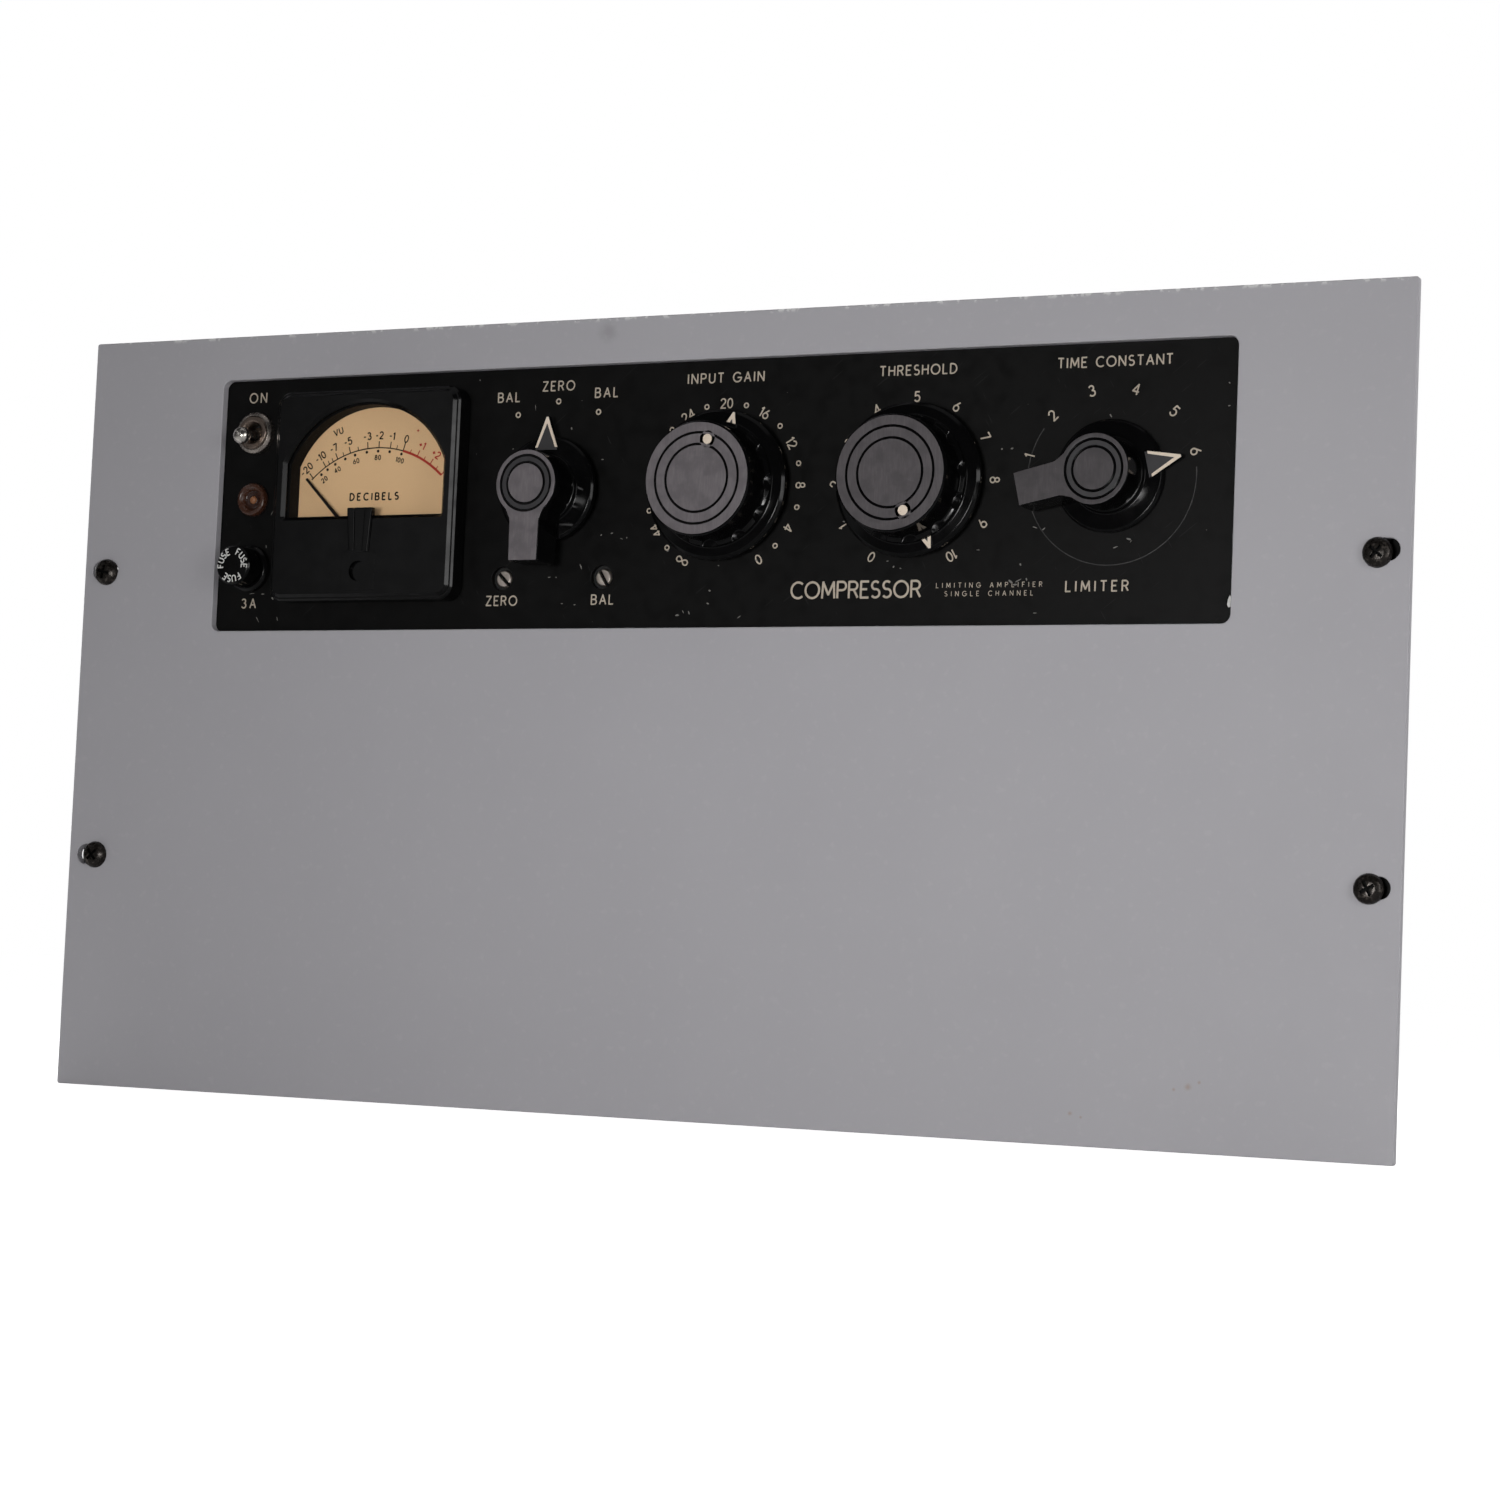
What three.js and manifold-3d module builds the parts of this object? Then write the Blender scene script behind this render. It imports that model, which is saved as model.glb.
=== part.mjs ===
// Rack-mounted valve compressor (limiting amplifier), six rack units high.
// Millimetres, +Z up, +X to the right of somebody facing the front, +Y into the unit.
// Every physical piece is one named mesh.
import * as THREE from 'three'
import { mergeVertices } from 'three/addons/utils/BufferGeometryUtils.js'
import Module from 'manifold-3d'

const wasm = await Module()
wasm.setup()

// ---- driving dimensions -------------------------------------------------------------

// Front panel: nineteen inches wide, six units high.
const panelWidth = 482.6
const panelHeight = 265.9
const panelThickness = 3.2
const panelCornerRadius = 0.8
const windowWidth = 371.8
const windowBottom = 161.35
const windowTop = 250.4
const windowCornerRadius = 3
const rackSlotX = 232.56
const rackSlotLowZ = 81.8
const rackSlotPitch = 101.6
const rackSlotLength = 10.8
const rackSlotHeight = 6.9
const rackScrewHeadRadius = 4.7
const rackScrewHeadHeight = 2.9
const rackScrewShankRadius = 2.35
const rackScrewLength = 12

// Control plate behind the window, carrying every control.
const seatGap = 0.2
const plateFace = panelThickness + seatGap
const plateThickness = 2
const plateBack = plateFace + plateThickness
const plateHalfWidth = 196
const plateBottom = 152
const plateTop = 259.5

// Column of switch, lamp and fuse at the left.
const columnX = -172.9
const toggleZ = 231.6
const lampZ = 208.0
const fuseZ = 183.6
const toggleTilt = 11.3

// Meter.
const meterX = -123.1
const meterWidth = 73.4
const meterBottom = 171.2
const meterTop = 244.4
const meterStandOff = 8.5
const meterFace = plateFace - meterStandOff
const meterCanZ = 209.5
const meterCanRadius = 34.7
const meterCanWall = 1.3
const meterCanDepth = 46
const meterOpeningHalf = 31.6
const meterOpeningBottom = 200.1
const meterOpeningShoulder = 219.2
const meterOpeningTop = 239.8
const needlePivotZ = 187.2
const needleLength = 40.5
const needleRest = -44.7
const zeroScrewZ = 181.1

// Knobs.
const knobZ = 208.1
const selectorX = -52.6
const gainX = 10.5
const thresholdX = 78.4
const timeX = 144.9
const knobHeight = 16.25
const dotProud = 0.1
const raisedSeat = 4
const closeSeat = 0.3
const skirtRadius = 25
const gripRadius = 18.9
const faceRadius = 18.3
const barSkirtRadius = 17.9
const barHeadRadius = 11.4
const barReach = 26
const barWidth = 11.2
const pointerReach = 24.6
const shaftRadius = 3.17
const shaftBore = 3.32
const gainAngle = 15
const thresholdAngle = 157.5
const timeAngle = 77

// Screwdriver adjusters.
const adjusterZ = 178.9
const zeroX = -71.3
const balanceX = -33.2
const adjusterRadius = 2.95

// Chassis tray and rear brackets.
const trayHalfWidth = 212
const trayBottom = 4
const trayTop = 262
const deckRear = 80
const sheet = 1.5
const earReach = 238
const earBottom = 60
const earTop = 205
const earScrewHole = 2.7
const bracketX = 184
const bracketRear = 186
const bracketFoot = 16
const rearSeat = deckRear + seatGap

// The middle of the whole depth sits at y = 0 in the finished group.
const frontReach = plateFace - raisedSeat - knobHeight - dotProud
const depthCentre = (frontReach + bracketRear) / 2

// ---- solid helpers ------------------------------------------------------------------

// A three.js geometry as a manifold solid, with its faces turned outwards.
function solid(geometry) {
  const bare = geometry.clone()
  bare.deleteAttribute('normal')
  bare.deleteAttribute('uv')
  const merged = mergeVertices(bare, 1e-4)
  const index = merged.index.array
  const kept = []
  for (let i = 0; i < index.length; i += 3) {
    const [a, b, c] = [index[i], index[i + 1], index[i + 2]]
    if (a !== b && b !== c && c !== a) {
      kept.push(a, b, c)
    }
  }
  const vertProperties = new Float32Array(merged.attributes.position.array)
  const build = (order) => new wasm.Manifold(
    new wasm.Mesh({ numProp: 3, vertProperties, triVerts: new Uint32Array(order) })
  )
  const first = build(kept)
  if (first.volume() > 0) {
    return first
  }
  const flipped = []
  for (let i = 0; i < kept.length; i += 3) {
    flipped.push(kept[i], kept[i + 2], kept[i + 1])
  }
  return build(flipped)
}

function geometryOf(manifold) {
  const mesh = manifold.getMesh()
  const geometry = new THREE.BufferGeometry()
  geometry.setAttribute('position', new THREE.BufferAttribute(mesh.vertProperties, 3))
  geometry.setIndex(new THREE.BufferAttribute(mesh.triVerts, 1))
  geometry.computeVertexNormals()
  return geometry
}

const join = (first, ...rest) => rest.reduce((sum, next) => sum.add(next), first)
const cut = (first, ...rest) => rest.reduce((left, next) => left.subtract(next), first)

function box(x0, x1, y0, y1, z0, z1) {
  const geometry = new THREE.BoxGeometry(x1 - x0, y1 - y0, z1 - z0)
  geometry.translate((x0 + x1) / 2, (y0 + y1) / 2, (z0 + z1) / 2)
  return solid(geometry)
}

// A flat shape drawn in X and Z, given depth from y0 to y1.
function slab(shape, y0, y1, curveSegments = 6) {
  const geometry = new THREE.ExtrudeGeometry(shape, { depth: y1 - y0, bevelEnabled: false, curveSegments })
  geometry.rotateX(Math.PI / 2)
  geometry.translate(0, y1, 0)
  return solid(geometry)
}

// A turned piece on an axis along Y through (x, z). The profile is a list of [radius, y].
function turned(profile, x, z, segments = 32) {
  const points = profile.map(([radius, y]) => new THREE.Vector2(radius, y))
  const geometry = new THREE.LatheGeometry(points, segments)
  geometry.translate(x, 0, z)
  return solid(geometry)
}

const disc = (x, z, radius, y0, y1, segments = 32) =>
  turned([[0, y0], [radius, y0], [radius, y1], [0, y1]], x, z, segments)

function roundedRectangle(x0, x1, z0, z1, radius, Type = THREE.Shape) {
  const shape = new Type()
  shape.moveTo(x0 + radius, z0)
  shape.lineTo(x1 - radius, z0)
  shape.absarc(x1 - radius, z0 + radius, radius, -Math.PI / 2, 0)
  shape.lineTo(x1, z1 - radius)
  shape.absarc(x1 - radius, z1 - radius, radius, 0, Math.PI / 2)
  shape.lineTo(x0 + radius, z1)
  shape.absarc(x0 + radius, z1 - radius, radius, Math.PI / 2, Math.PI)
  shape.lineTo(x0, z0 + radius)
  shape.absarc(x0 + radius, z0 + radius, radius, Math.PI, Math.PI * 1.5)
  return shape
}

function circleHole(x, z, radius) {
  const hole = new THREE.Path()
  const sides = radius > 20 ? 40 : 12
  for (let i = 0; i < sides; i += 1) {
    const angle = (i / sides) * Math.PI * 2
    const point = [x + radius * Math.cos(angle), z + radius * Math.sin(angle)]
    if (i === 0) {
      hole.moveTo(...point)
    } else {
      hole.lineTo(...point)
    }
  }
  hole.closePath()
  return hole
}

// Turns a solid clockwise, as seen from the front, about the axis along Y through (x, z).
function turnedBy(manifold, x, z, degrees) {
  return manifold.translate([-x, 0, -z]).rotate([0, degrees, 0]).translate([x, 0, z])
}

// ---- the group ----------------------------------------------------------------------

const group = new THREE.Group()
group.name = 'rack_compressor'

const finish = {
  greyPaint: [0x97959a, 0.45, 0.3],
  blackPlate: [0x1b1b1d, 0.5, 0.3],
  blackMoulding: [0x0d0d0e, 0.25, 0],
  knobMoulding: [0x121213, 0.2, 0],
  blackOxide: [0x2f2a28, 0.35, 0.9],
  nickel: [0xc9c2b6, 0.3, 1],
  amber: [0x9c4a1d, 0.25, 0],
  dialCard: [0xd9b888, 0.8, 0],
  needleBlack: [0x2a1d14, 0.5, 0],
  glass: [0xdfe8ea, 0.05, 0],
  chassisSteel: [0xa7a9a4, 0.4, 0.9],
  coreGrey: [0x3c3f42, 0.5, 0.4],
  potAluminium: [0xb9bbbb, 0.4, 0.9],
  canAluminium: [0xc4c6c6, 0.3, 1],
  valveGlass: [0x9aa3a6, 0.08, 0],
  brown: [0x5a3620, 0.6, 0],
  board: [0x7d5a33, 0.7, 0],
}

function add(name, manifold, [color, roughness, metalness]) {
  const geometry = geometryOf(manifold.translate([0, -depthCentre, 0]))
  const material = new THREE.MeshStandardMaterial({ color, roughness, metalness })
  const mesh = new THREE.Mesh(geometry, material)
  mesh.name = name
  group.add(mesh)
}

// ---- front panel --------------------------------------------------------------------

const rackSlots = [
  ['upper_left', -rackSlotX, rackSlotLowZ + rackSlotPitch, -231.7, 182.8, 12],
  ['upper_right', rackSlotX, rackSlotLowZ + rackSlotPitch, 231.2, 182.4, 40],
  ['lower_left', -rackSlotX, rackSlotLowZ, -229.9, 81.6, 48],
  ['lower_right', rackSlotX, rackSlotLowZ, 231.5, 81.5, 62],
]

function rackPanel() {
  const half = panelWidth / 2
  const shape = roundedRectangle(-half, half, 0, panelHeight, panelCornerRadius)
  shape.holes.push(roundedRectangle(
    -windowWidth / 2, windowWidth / 2, windowBottom, windowTop, windowCornerRadius, THREE.Path
  ))
  for (const [, x, z] of rackSlots) {
    shape.holes.push(roundedRectangle(
      x - rackSlotLength / 2, x + rackSlotLength / 2,
      z - rackSlotHeight / 2, z + rackSlotHeight / 2,
      rackSlotHeight / 2 - 0.01, THREE.Path
    ))
  }
  return slab(shape, 0, panelThickness, 2)
}

// Pan-head cross-recess screw standing in a rack slot.
function rackScrew(x, z, turn) {
  const top = -rackScrewHeadHeight - 0.1
  const body = turned([
    [0, top], [2.6, top + 0.25], [4.0, top + 0.95], [rackScrewHeadRadius, top + 2.1],
    [rackScrewHeadRadius, -0.1], [rackScrewShankRadius, -0.1],
    [rackScrewShankRadius, rackScrewLength], [0, rackScrewLength],
  ], x, z, 12)
  const slotA = box(x - 2.5, x + 2.5, top - 1, top + 1.7, z - 0.5, z + 0.5)
  const slotB = box(x - 0.5, x + 0.5, top - 1, top + 1.7, z - 2.5, z + 2.5)
  return cut(body, turnedBy(slotA, x, z, turn), turnedBy(slotB, x, z, turn))
}

add('rack_panel', rackPanel(), finish.greyPaint)
for (const [place, , , x, z, turn] of rackSlots) {
  add(`rack_screw_${place}`, rackScrew(x, z, turn), finish.blackOxide)
}

// ---- control plate ------------------------------------------------------------------

const bushingHole = 5.2
const adjusterHole = 4
const plateHoles = [
  [columnX, toggleZ, 6.4], [columnX, lampZ, 5], [columnX, fuseZ, 6.5],
  [meterX, meterCanZ, meterCanRadius + 0.4],
  [selectorX, knobZ, bushingHole], [gainX, knobZ, bushingHole],
  [thresholdX, knobZ, bushingHole], [timeX, knobZ, bushingHole],
  [zeroX, adjusterZ, adjusterHole], [balanceX, adjusterZ, adjusterHole],
]

function controlPlate() {
  const shape = roundedRectangle(-plateHalfWidth, plateHalfWidth, plateBottom, plateTop, 1)
  for (const [x, z, radius] of plateHoles) {
    shape.holes.push(circleHole(x, z, radius))
  }
  return slab(shape, plateFace, plateBack, 2)
}

add('control_plate', controlPlate(), finish.blackPlate)

// ---- power toggle -------------------------------------------------------------------

const toggleBushing = 5.9
const togglePivotY = plateFace + 1

function toggleSwitchBody() {
  const housing = box(columnX - 8, columnX + 8, plateBack + seatGap, 34, toggleZ - 14, toggleZ + 14)
  const bushing = disc(columnX, toggleZ, toggleBushing, plateFace - 3.6, plateBack + 2, 24)
  const mouth = turned([
    [0, plateFace - 5], [3.9, plateFace - 5], [3.9, plateFace - 3.4], [3.2, plateFace - 2.6],
    [3.2, plateFace + 5], [0, plateFace + 5],
  ], columnX, toggleZ, 24)
  const lugs = [-7, 0, 7].map((dz) => box(
    columnX - 2, columnX + 2, 33, 41, toggleZ + dz - 0.5, toggleZ + dz + 0.5
  ))
  return join(cut(join(housing, bushing), mouth), ...lugs)
}

// Round nut with a chamfered rim.
function toggleNut() {
  const outer = 7.3
  const inner = toggleBushing + 0.15
  return turned([
    [inner, plateFace - 3.1], [outer - 1.2, plateFace - 3.1], [outer, plateFace - 2.2],
    [outer, plateFace - seatGap], [inner, plateFace - seatGap], [inner, plateFace - 3.1],
  ], columnX, toggleZ, 24)
}

function toggleLever() {
  const stem = turned([
    [0, -13.8], [1.7, -13.2], [2.75, -11.6], [2.85, -10.6], [2.5, -9], [1.7, -6], [1.45, -2],
    [2.4, 0], [1.45, 2], [0, 2.6],
  ], 0, 0, 16)
  return stem.rotate([toggleTilt, 0, 0]).translate([columnX, togglePivotY, toggleZ])
}

add('toggle_switch_body', toggleSwitchBody(), finish.brown)
add('toggle_nut', toggleNut(), finish.nickel)
add('toggle_lever', toggleLever(), finish.nickel)

// ---- pilot lamp ---------------------------------------------------------------------

function pilotLampLens() {
  const rim = plateFace - 2.6
  return turned([
    [0, rim + 1.2], [1.5, rim + 1.4], [2.4, rim + 2.2], [3.5, rim + 1.7], [4.2, rim + 0.7],
    [5, rim], [5.7, rim + 0.4], [5.9, rim + 1.4], [5.9, plateFace - seatGap],
    [4.6, plateFace - seatGap], [4.6, 10], [0, 10],
  ], columnX, lampZ, 20)
}

function pilotLampHolder() {
  const shell = turned([
    [4.85, plateBack + seatGap], [7.4, plateBack + seatGap], [7.4, 12], [6.2, 14], [6.2, 36],
    [0, 36], [0, 33], [4.85, 33], [4.85, plateBack + seatGap],
  ], columnX, lampZ, 20)
  const lugs = [-2.5, 2.5].map((dx) => box(
    columnX + dx - 0.5, columnX + dx + 0.5, 35, 42, lampZ - 1.5, lampZ + 1.5
  ))
  return join(shell, ...lugs)
}

// Small screw-base bulb standing inside the holder, its tip behind the lens.
function pilotBulb() {
  return turned([
    [0, 11], [2.4, 12], [3.6, 14.5], [3.8, 17], [3, 20.5], [3.4, 21], [3.4, 28], [2.2, 30], [0, 30.6],
  ], columnX, lampZ, 12)
}

add('pilot_lamp_lens', pilotLampLens(), finish.amber)
add('pilot_lamp_holder', pilotLampHolder(), finish.potAluminium)
add('pilot_lamp_bulb', pilotBulb(), finish.valveGlass)

// ---- fuse ---------------------------------------------------------------------------

const fuseBore = 4
const fuseCapFace = plateFace - 11.56

function fuseHolderBody() {
  const flange = plateFace - 2.9
  const shell = turned([
    [fuseBore, flange], [7.6, flange], [8.3, flange + 0.7], [8.3, plateFace - seatGap],
    [6.2, plateFace - seatGap], [6.2, 46], [0, 46], [0, 43], [fuseBore, 43], [fuseBore, flange],
  ], columnX, fuseZ, 20)
  const nut = turned([
    [6.1, plateBack + seatGap], [9, plateBack + seatGap], [9, plateBack + 3.5],
    [6.1, plateBack + 3.5], [6.1, plateBack + seatGap],
  ], columnX, fuseZ, 6)
  const lug = box(columnX - 2, columnX + 2, 45, 53, fuseZ - 0.5, fuseZ + 0.5)
  return join(shell, nut, lug)
}

function fuseCap() {
  const back = plateFace - 3.2
  return turned([
    [0, fuseCapFace], [6.4, fuseCapFace], [6.9, fuseCapFace + 0.5], [6.9, back - 1],
    [6.5, back], [3.75, back], [3.75, 6.4], [0, 6.4],
  ], columnX, fuseZ, 24)
}

function fuseLink() {
  return turned([
    [0, 6.8], [3.2, 6.8], [3.2, 12.8], [2.9, 12.8], [2.9, 32.6], [3.2, 32.6], [3.2, 38.6], [0, 38.6],
  ], columnX, fuseZ, 16)
}

add('fuse_holder_body', fuseHolderBody(), finish.blackMoulding)
add('fuse_cap', fuseCap(), finish.blackMoulding)
add('fuse_link', fuseLink(), finish.glass)

// ---- meter --------------------------------------------------------------------------

// Window of the meter: straight foot and sides under one broad arc.
function meterOpening(inset) {
  const half = meterOpeningHalf - inset
  const rise = meterOpeningTop - meterOpeningShoulder
  const radius = (meterOpeningHalf ** 2 + rise ** 2) / (2 * rise)
  const centreZ = meterOpeningTop - radius
  const shape = new THREE.Shape()
  const start = Math.acos(half / (radius - inset))
  shape.moveTo(meterX - half, meterOpeningBottom + inset)
  shape.lineTo(meterX + half, meterOpeningBottom + inset)
  shape.absarc(meterX, centreZ, radius - inset, start, Math.PI - start)
  return shape
}

function meterCase() {
  const left = meterX - meterWidth / 2
  const right = meterX + meterWidth / 2
  const back = plateFace - seatGap
  const body = slab(roundedRectangle(left, right, meterBottom, meterTop, 5), meterFace + 1.2, back)
  const face = slab(roundedRectangle(
    left + 1.1, right - 1.1, meterBottom + 1.1, meterTop - 1.1, 4.2
  ), meterFace, meterFace + 1.4)
  const can = disc(meterX, meterCanZ, meterCanRadius, meterFace + 3, meterCanDepth, 32)
  const hollow = disc(meterX, meterCanZ, meterCanRadius - meterCanWall, back - 1, meterCanDepth - 2, 32)
  const tunnel = slab(meterOpening(0), meterFace - 1, back + 1, 7)
  const pivotPocket = box(meterX - 16, meterX + 16, meterFace + 2.5, back + 1, 184.4, 202)
  const screwHole = disc(meterX, zeroScrewZ, 3.5, meterFace - 1, back + 1, 18)
  const boss = box(
    meterX - 6.8, meterX + 6.8, meterFace - 0.4, meterFace + 1, zeroScrewZ - 6.8, zeroScrewZ + 6.8
  )
  const shell = cut(join(body, face, can, boss), hollow, tunnel, pivotPocket, screwHole)
  const tongueShape = new THREE.Shape()
  tongueShape.moveTo(meterX - 3.9, 187.5)
  tongueShape.lineTo(meterX + 3.9, 187.5)
  tongueShape.lineTo(meterX + 5.1, 203)
  tongueShape.lineTo(meterX - 5.1, 203)
  const tongue = slab(tongueShape, meterFace - 1, meterFace + 1.3)
  return join(shell, tongue)
}

function meterDial() {
  const card = disc(meterX, meterCanZ, meterCanRadius - meterCanWall - 0.2, plateFace, plateFace + 0.8, 32)
  const foot = box(meterX - 40, meterX + 40, plateFace - 1, plateFace + 2, 160, 197)
  return cut(card, foot)
}

function meterGlass() {
  return slab(meterOpening(0.2), meterFace + 1.6, meterFace + 2.8, 7)
}

// Tapered pointer on a small hub, resting at the low end of the scale.
function meterNeedle() {
  const shape = new THREE.Shape()
  shape.moveTo(meterX - 0.7, needlePivotZ - 1.2)
  shape.lineTo(meterX + 0.7, needlePivotZ - 1.2)
  shape.lineTo(meterX + 0.25, needlePivotZ + needleLength)
  shape.lineTo(meterX - 0.25, needlePivotZ + needleLength)
  const blade = slab(shape, plateFace - 2.4, plateFace - 1.9)
  const hub = disc(meterX, needlePivotZ, 1.8, plateFace - 2.8, plateFace + 3, 16)
  return turnedBy(join(blade, hub), meterX, needlePivotZ, needleRest)
}

function meterMovement() {
  const y0 = plateFace + 3.3
  const magnet = box(meterX - 17, meterX + 17, y0, y0 + 24, 184, 196)
  const yoke = box(meterX - 13, meterX + 13, y0 + 4, y0 + 20, 195, 226)
  const foot = box(meterX - 9, meterX + 9, y0 + 19, meterCanDepth - 2.3, 190, 222)
  return join(magnet, yoke, foot)
}

function meterZeroScrew() {
  const front = meterFace + 1.7
  const body = disc(meterX, zeroScrewZ, 3.25, front, plateFace - 1, 18)
  const slot = box(meterX - 4, meterX + 4, front - 1, front + 0.9, zeroScrewZ - 0.45, zeroScrewZ + 0.45)
  return cut(body, turnedBy(slot, meterX, zeroScrewZ, 20))
}

add('meter_case', meterCase(), finish.blackMoulding)
add('meter_dial', meterDial(), finish.dialCard)
add('meter_glass', meterGlass(), finish.glass)
add('meter_needle', meterNeedle(), finish.needleBlack)
add('meter_movement', meterMovement(), finish.potAluminium)
add('meter_zero_screw', meterZeroScrew(), finish.blackMoulding)

// ---- knobs --------------------------------------------------------------------------

// Raised wedge that points at the scale, straight up before it is turned.
function pointerWedge(x, back, front, reach) {
  const shape = new THREE.Shape()
  shape.moveTo(x - 4.2, knobZ + 13.5)
  shape.lineTo(x + 4.2, knobZ + 13.5)
  shape.lineTo(x + 0.3, knobZ + reach)
  shape.lineTo(x - 0.3, knobZ + reach)
  return slab(shape, front, back)
}

// Recess for the bushing and blind bore for the shaft, cut from behind.
function knobBore(x, back) {
  const top = back - knobHeight + 4
  return turned([
    [0, top], [shaftBore, top], [shaftBore, back - 4.4], [9.4, back - 4.4], [9.4, back + 1], [0, back + 1],
  ], x, knobZ, 16)
}

// Large round knob: skirt, fluted grip, face with two rings and an index spot.
function roundKnob(x, seat, turn) {
  const back = plateFace - seat
  const face = back - knobHeight
  const ring = (radius) => [[radius - 0.45, face], [radius, face + 0.6], [radius + 0.45, face]]
  const body = turned([
    [0, face], ...ring(11.1), ...ring(14.9), [faceRadius, face], [gripRadius, face + 0.7],
    [gripRadius + 0.3, back - 4.4], [20.8, back - 2.8],
    [24.2, back - 2.2], [skirtRadius, back - 1.5], [skirtRadius, back], [0, back],
  ], x, knobZ, 26)
  const flutes = []
  const fluteCount = 10
  for (let i = 0; i < fluteCount; i += 1) {
    const angle = ((i + 0.5) / fluteCount) * Math.PI * 2
    const reach = gripRadius + 2.3
    flutes.push(disc(
      x + reach * Math.cos(angle), knobZ + reach * Math.sin(angle), 3.1, face + 1.9, back - 4.3, 6
    ))
  }
  const spot = disc(x, knobZ + 13.1, 2.9, face + 0.02, face + 1, 12)
  const dot = disc(x, knobZ + 13.1, 1.7, face - dotProud, face + 1, 12)
  const knob = join(cut(body, ...flutes), spot, dot, pointerWedge(x, back - 1.2, back - 2.5, pointerReach))
  return turnedBy(cut(knob, knobBore(x, back)), x, knobZ, turn)
}

// Bar knob: round head with a straight handle opposite the pointer.
function barKnob(x, seat, turn) {
  const back = plateFace - seat
  const face = back - knobHeight
  const ring = (radius) => [[radius - 0.4, face], [radius, face + 0.6], [radius + 0.4, face]]
  const head = turned([
    [0, face], ...ring(6.9), ...ring(9.3), [barHeadRadius - 0.4, face], [barHeadRadius, face + 0.5],
    [barHeadRadius + 0.6, back - 3], [barSkirtRadius - 0.6, back - 2.2], [barSkirtRadius, back - 1.6],
    [barSkirtRadius, back], [0, back],
  ], x, knobZ, 24)
  const half = barWidth / 2
  const outline = new THREE.Shape()
  outline.moveTo(x - half, knobZ - barReach)
  outline.lineTo(x + half, knobZ - barReach)
  outline.lineTo(x + half, knobZ - 13.2)
  outline.quadraticCurveTo(x + half + 0.6, knobZ - 10.4, x + 8.6, knobZ - 7.4)
  outline.lineTo(x + 6, knobZ - 3)
  outline.lineTo(x - 6, knobZ - 3)
  outline.lineTo(x - 8.6, knobZ - 7.4)
  outline.quadraticCurveTo(x - half - 0.6, knobZ - 10.4, x - half, knobZ - 13.2)
  const handle = slab(outline, face + 0.02, back - 3.4, 4)
  const web = box(x - half, x + half, back - 3.6, back - 1.8, knobZ - barSkirtRadius + 1, knobZ - 5)
  const hollow = turned([
    [0, face + 0.6], [9.7, face + 0.6], [9.7, face - 1], [0, face - 1],
  ], x, knobZ, 24)
  const trimmed = cut(handle, hollow)
  const knob = join(head, trimmed, web, pointerWedge(x, back - 1.2, back - 2.5, pointerReach))
  return turnedBy(cut(knob, knobBore(x, back)), x, knobZ, turn)
}

function shaft(x, seat) {
  return disc(x, knobZ, shaftRadius, plateFace - seat - knobHeight + 4.3, 12, 16)
}

// Control body with its threaded bushing and nut standing through the plate.
function controlBody(x, radius, depth, wafers) {
  const front = plateBack + seatGap
  const neck = turned([
    [shaftBore, plateFace - 3.2], [4.7, plateFace - 3.2], [4.7, front + 1], [radius, front + 1],
    [radius, depth], [0, depth], [0, 14], [shaftBore, 14],
    [shaftBore, plateFace - 3.2],
  ], x, knobZ, 16)
  const nut = turned([
    [4.6, plateFace - 2.4], [8, plateFace - 2.4], [8, plateFace - seatGap],
    [4.6, plateFace - seatGap], [4.6, plateFace - 2.4],
  ], x, knobZ, 6)
  const discs = wafers.map((y) => disc(x, knobZ, radius + 2, y, y + 2, 16))
  const lugs = [-1, 0, 1].map((i) => box(
    x + i * 6 - 1.2, x + i * 6 + 1.2, front + 4, front + 5, knobZ - radius - 6, knobZ - radius + 2
  ))
  return join(neck, nut, ...discs, ...lugs)
}

add('meter_selector_knob', barKnob(selectorX, raisedSeat, 0), finish.knobMoulding)
add('meter_selector_shaft', shaft(selectorX, raisedSeat), finish.nickel)
add('meter_selector_switch', controlBody(selectorX, 16.5, 32, [20, 27]), finish.brown)
add('input_gain_knob', roundKnob(gainX, raisedSeat, gainAngle), finish.knobMoulding)
add('input_gain_shaft', shaft(gainX, raisedSeat), finish.nickel)
add('input_gain_attenuator', controlBody(gainX, 27, 52, []), finish.potAluminium)
add('threshold_knob', roundKnob(thresholdX, raisedSeat, thresholdAngle), finish.knobMoulding)
add('threshold_shaft', shaft(thresholdX, raisedSeat), finish.nickel)
add('threshold_control', controlBody(thresholdX, 20, 30, []), finish.potAluminium)
add('time_constant_knob', barKnob(timeX, closeSeat, timeAngle), finish.knobMoulding)
add('time_constant_shaft', shaft(timeX, closeSeat), finish.nickel)
add('time_constant_switch', controlBody(timeX, 17, 48, [22, 30, 38]), finish.brown)

// ---- screwdriver adjusters ----------------------------------------------------------

function adjusterShaft(x, turn) {
  const front = plateFace + 1.2
  const body = disc(x, adjusterZ, adjusterRadius, front, 14, 16)
  const slot = box(x - 4, x + 4, front - 1, front + 1.3, adjusterZ - 0.5, adjusterZ + 0.5)
  return cut(body, turnedBy(slot, x, adjusterZ, turn))
}

function adjusterControl(x) {
  const front = plateBack + seatGap
  const bore = adjusterRadius + 0.1
  const body = turned([
    [bore, front], [4.6, front], [4.6, front + 3], [12.5, front + 3], [12.5, 20], [0, 20],
    [0, 15], [bore, 15], [bore, front],
  ], x, adjusterZ, 16)
  const lugs = [-5, 0, 5].map((dx) => box(
    x + dx - 1, x + dx + 1, 12, 13, adjusterZ - 18, adjusterZ - 11
  ))
  return join(body, ...lugs)
}

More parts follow.
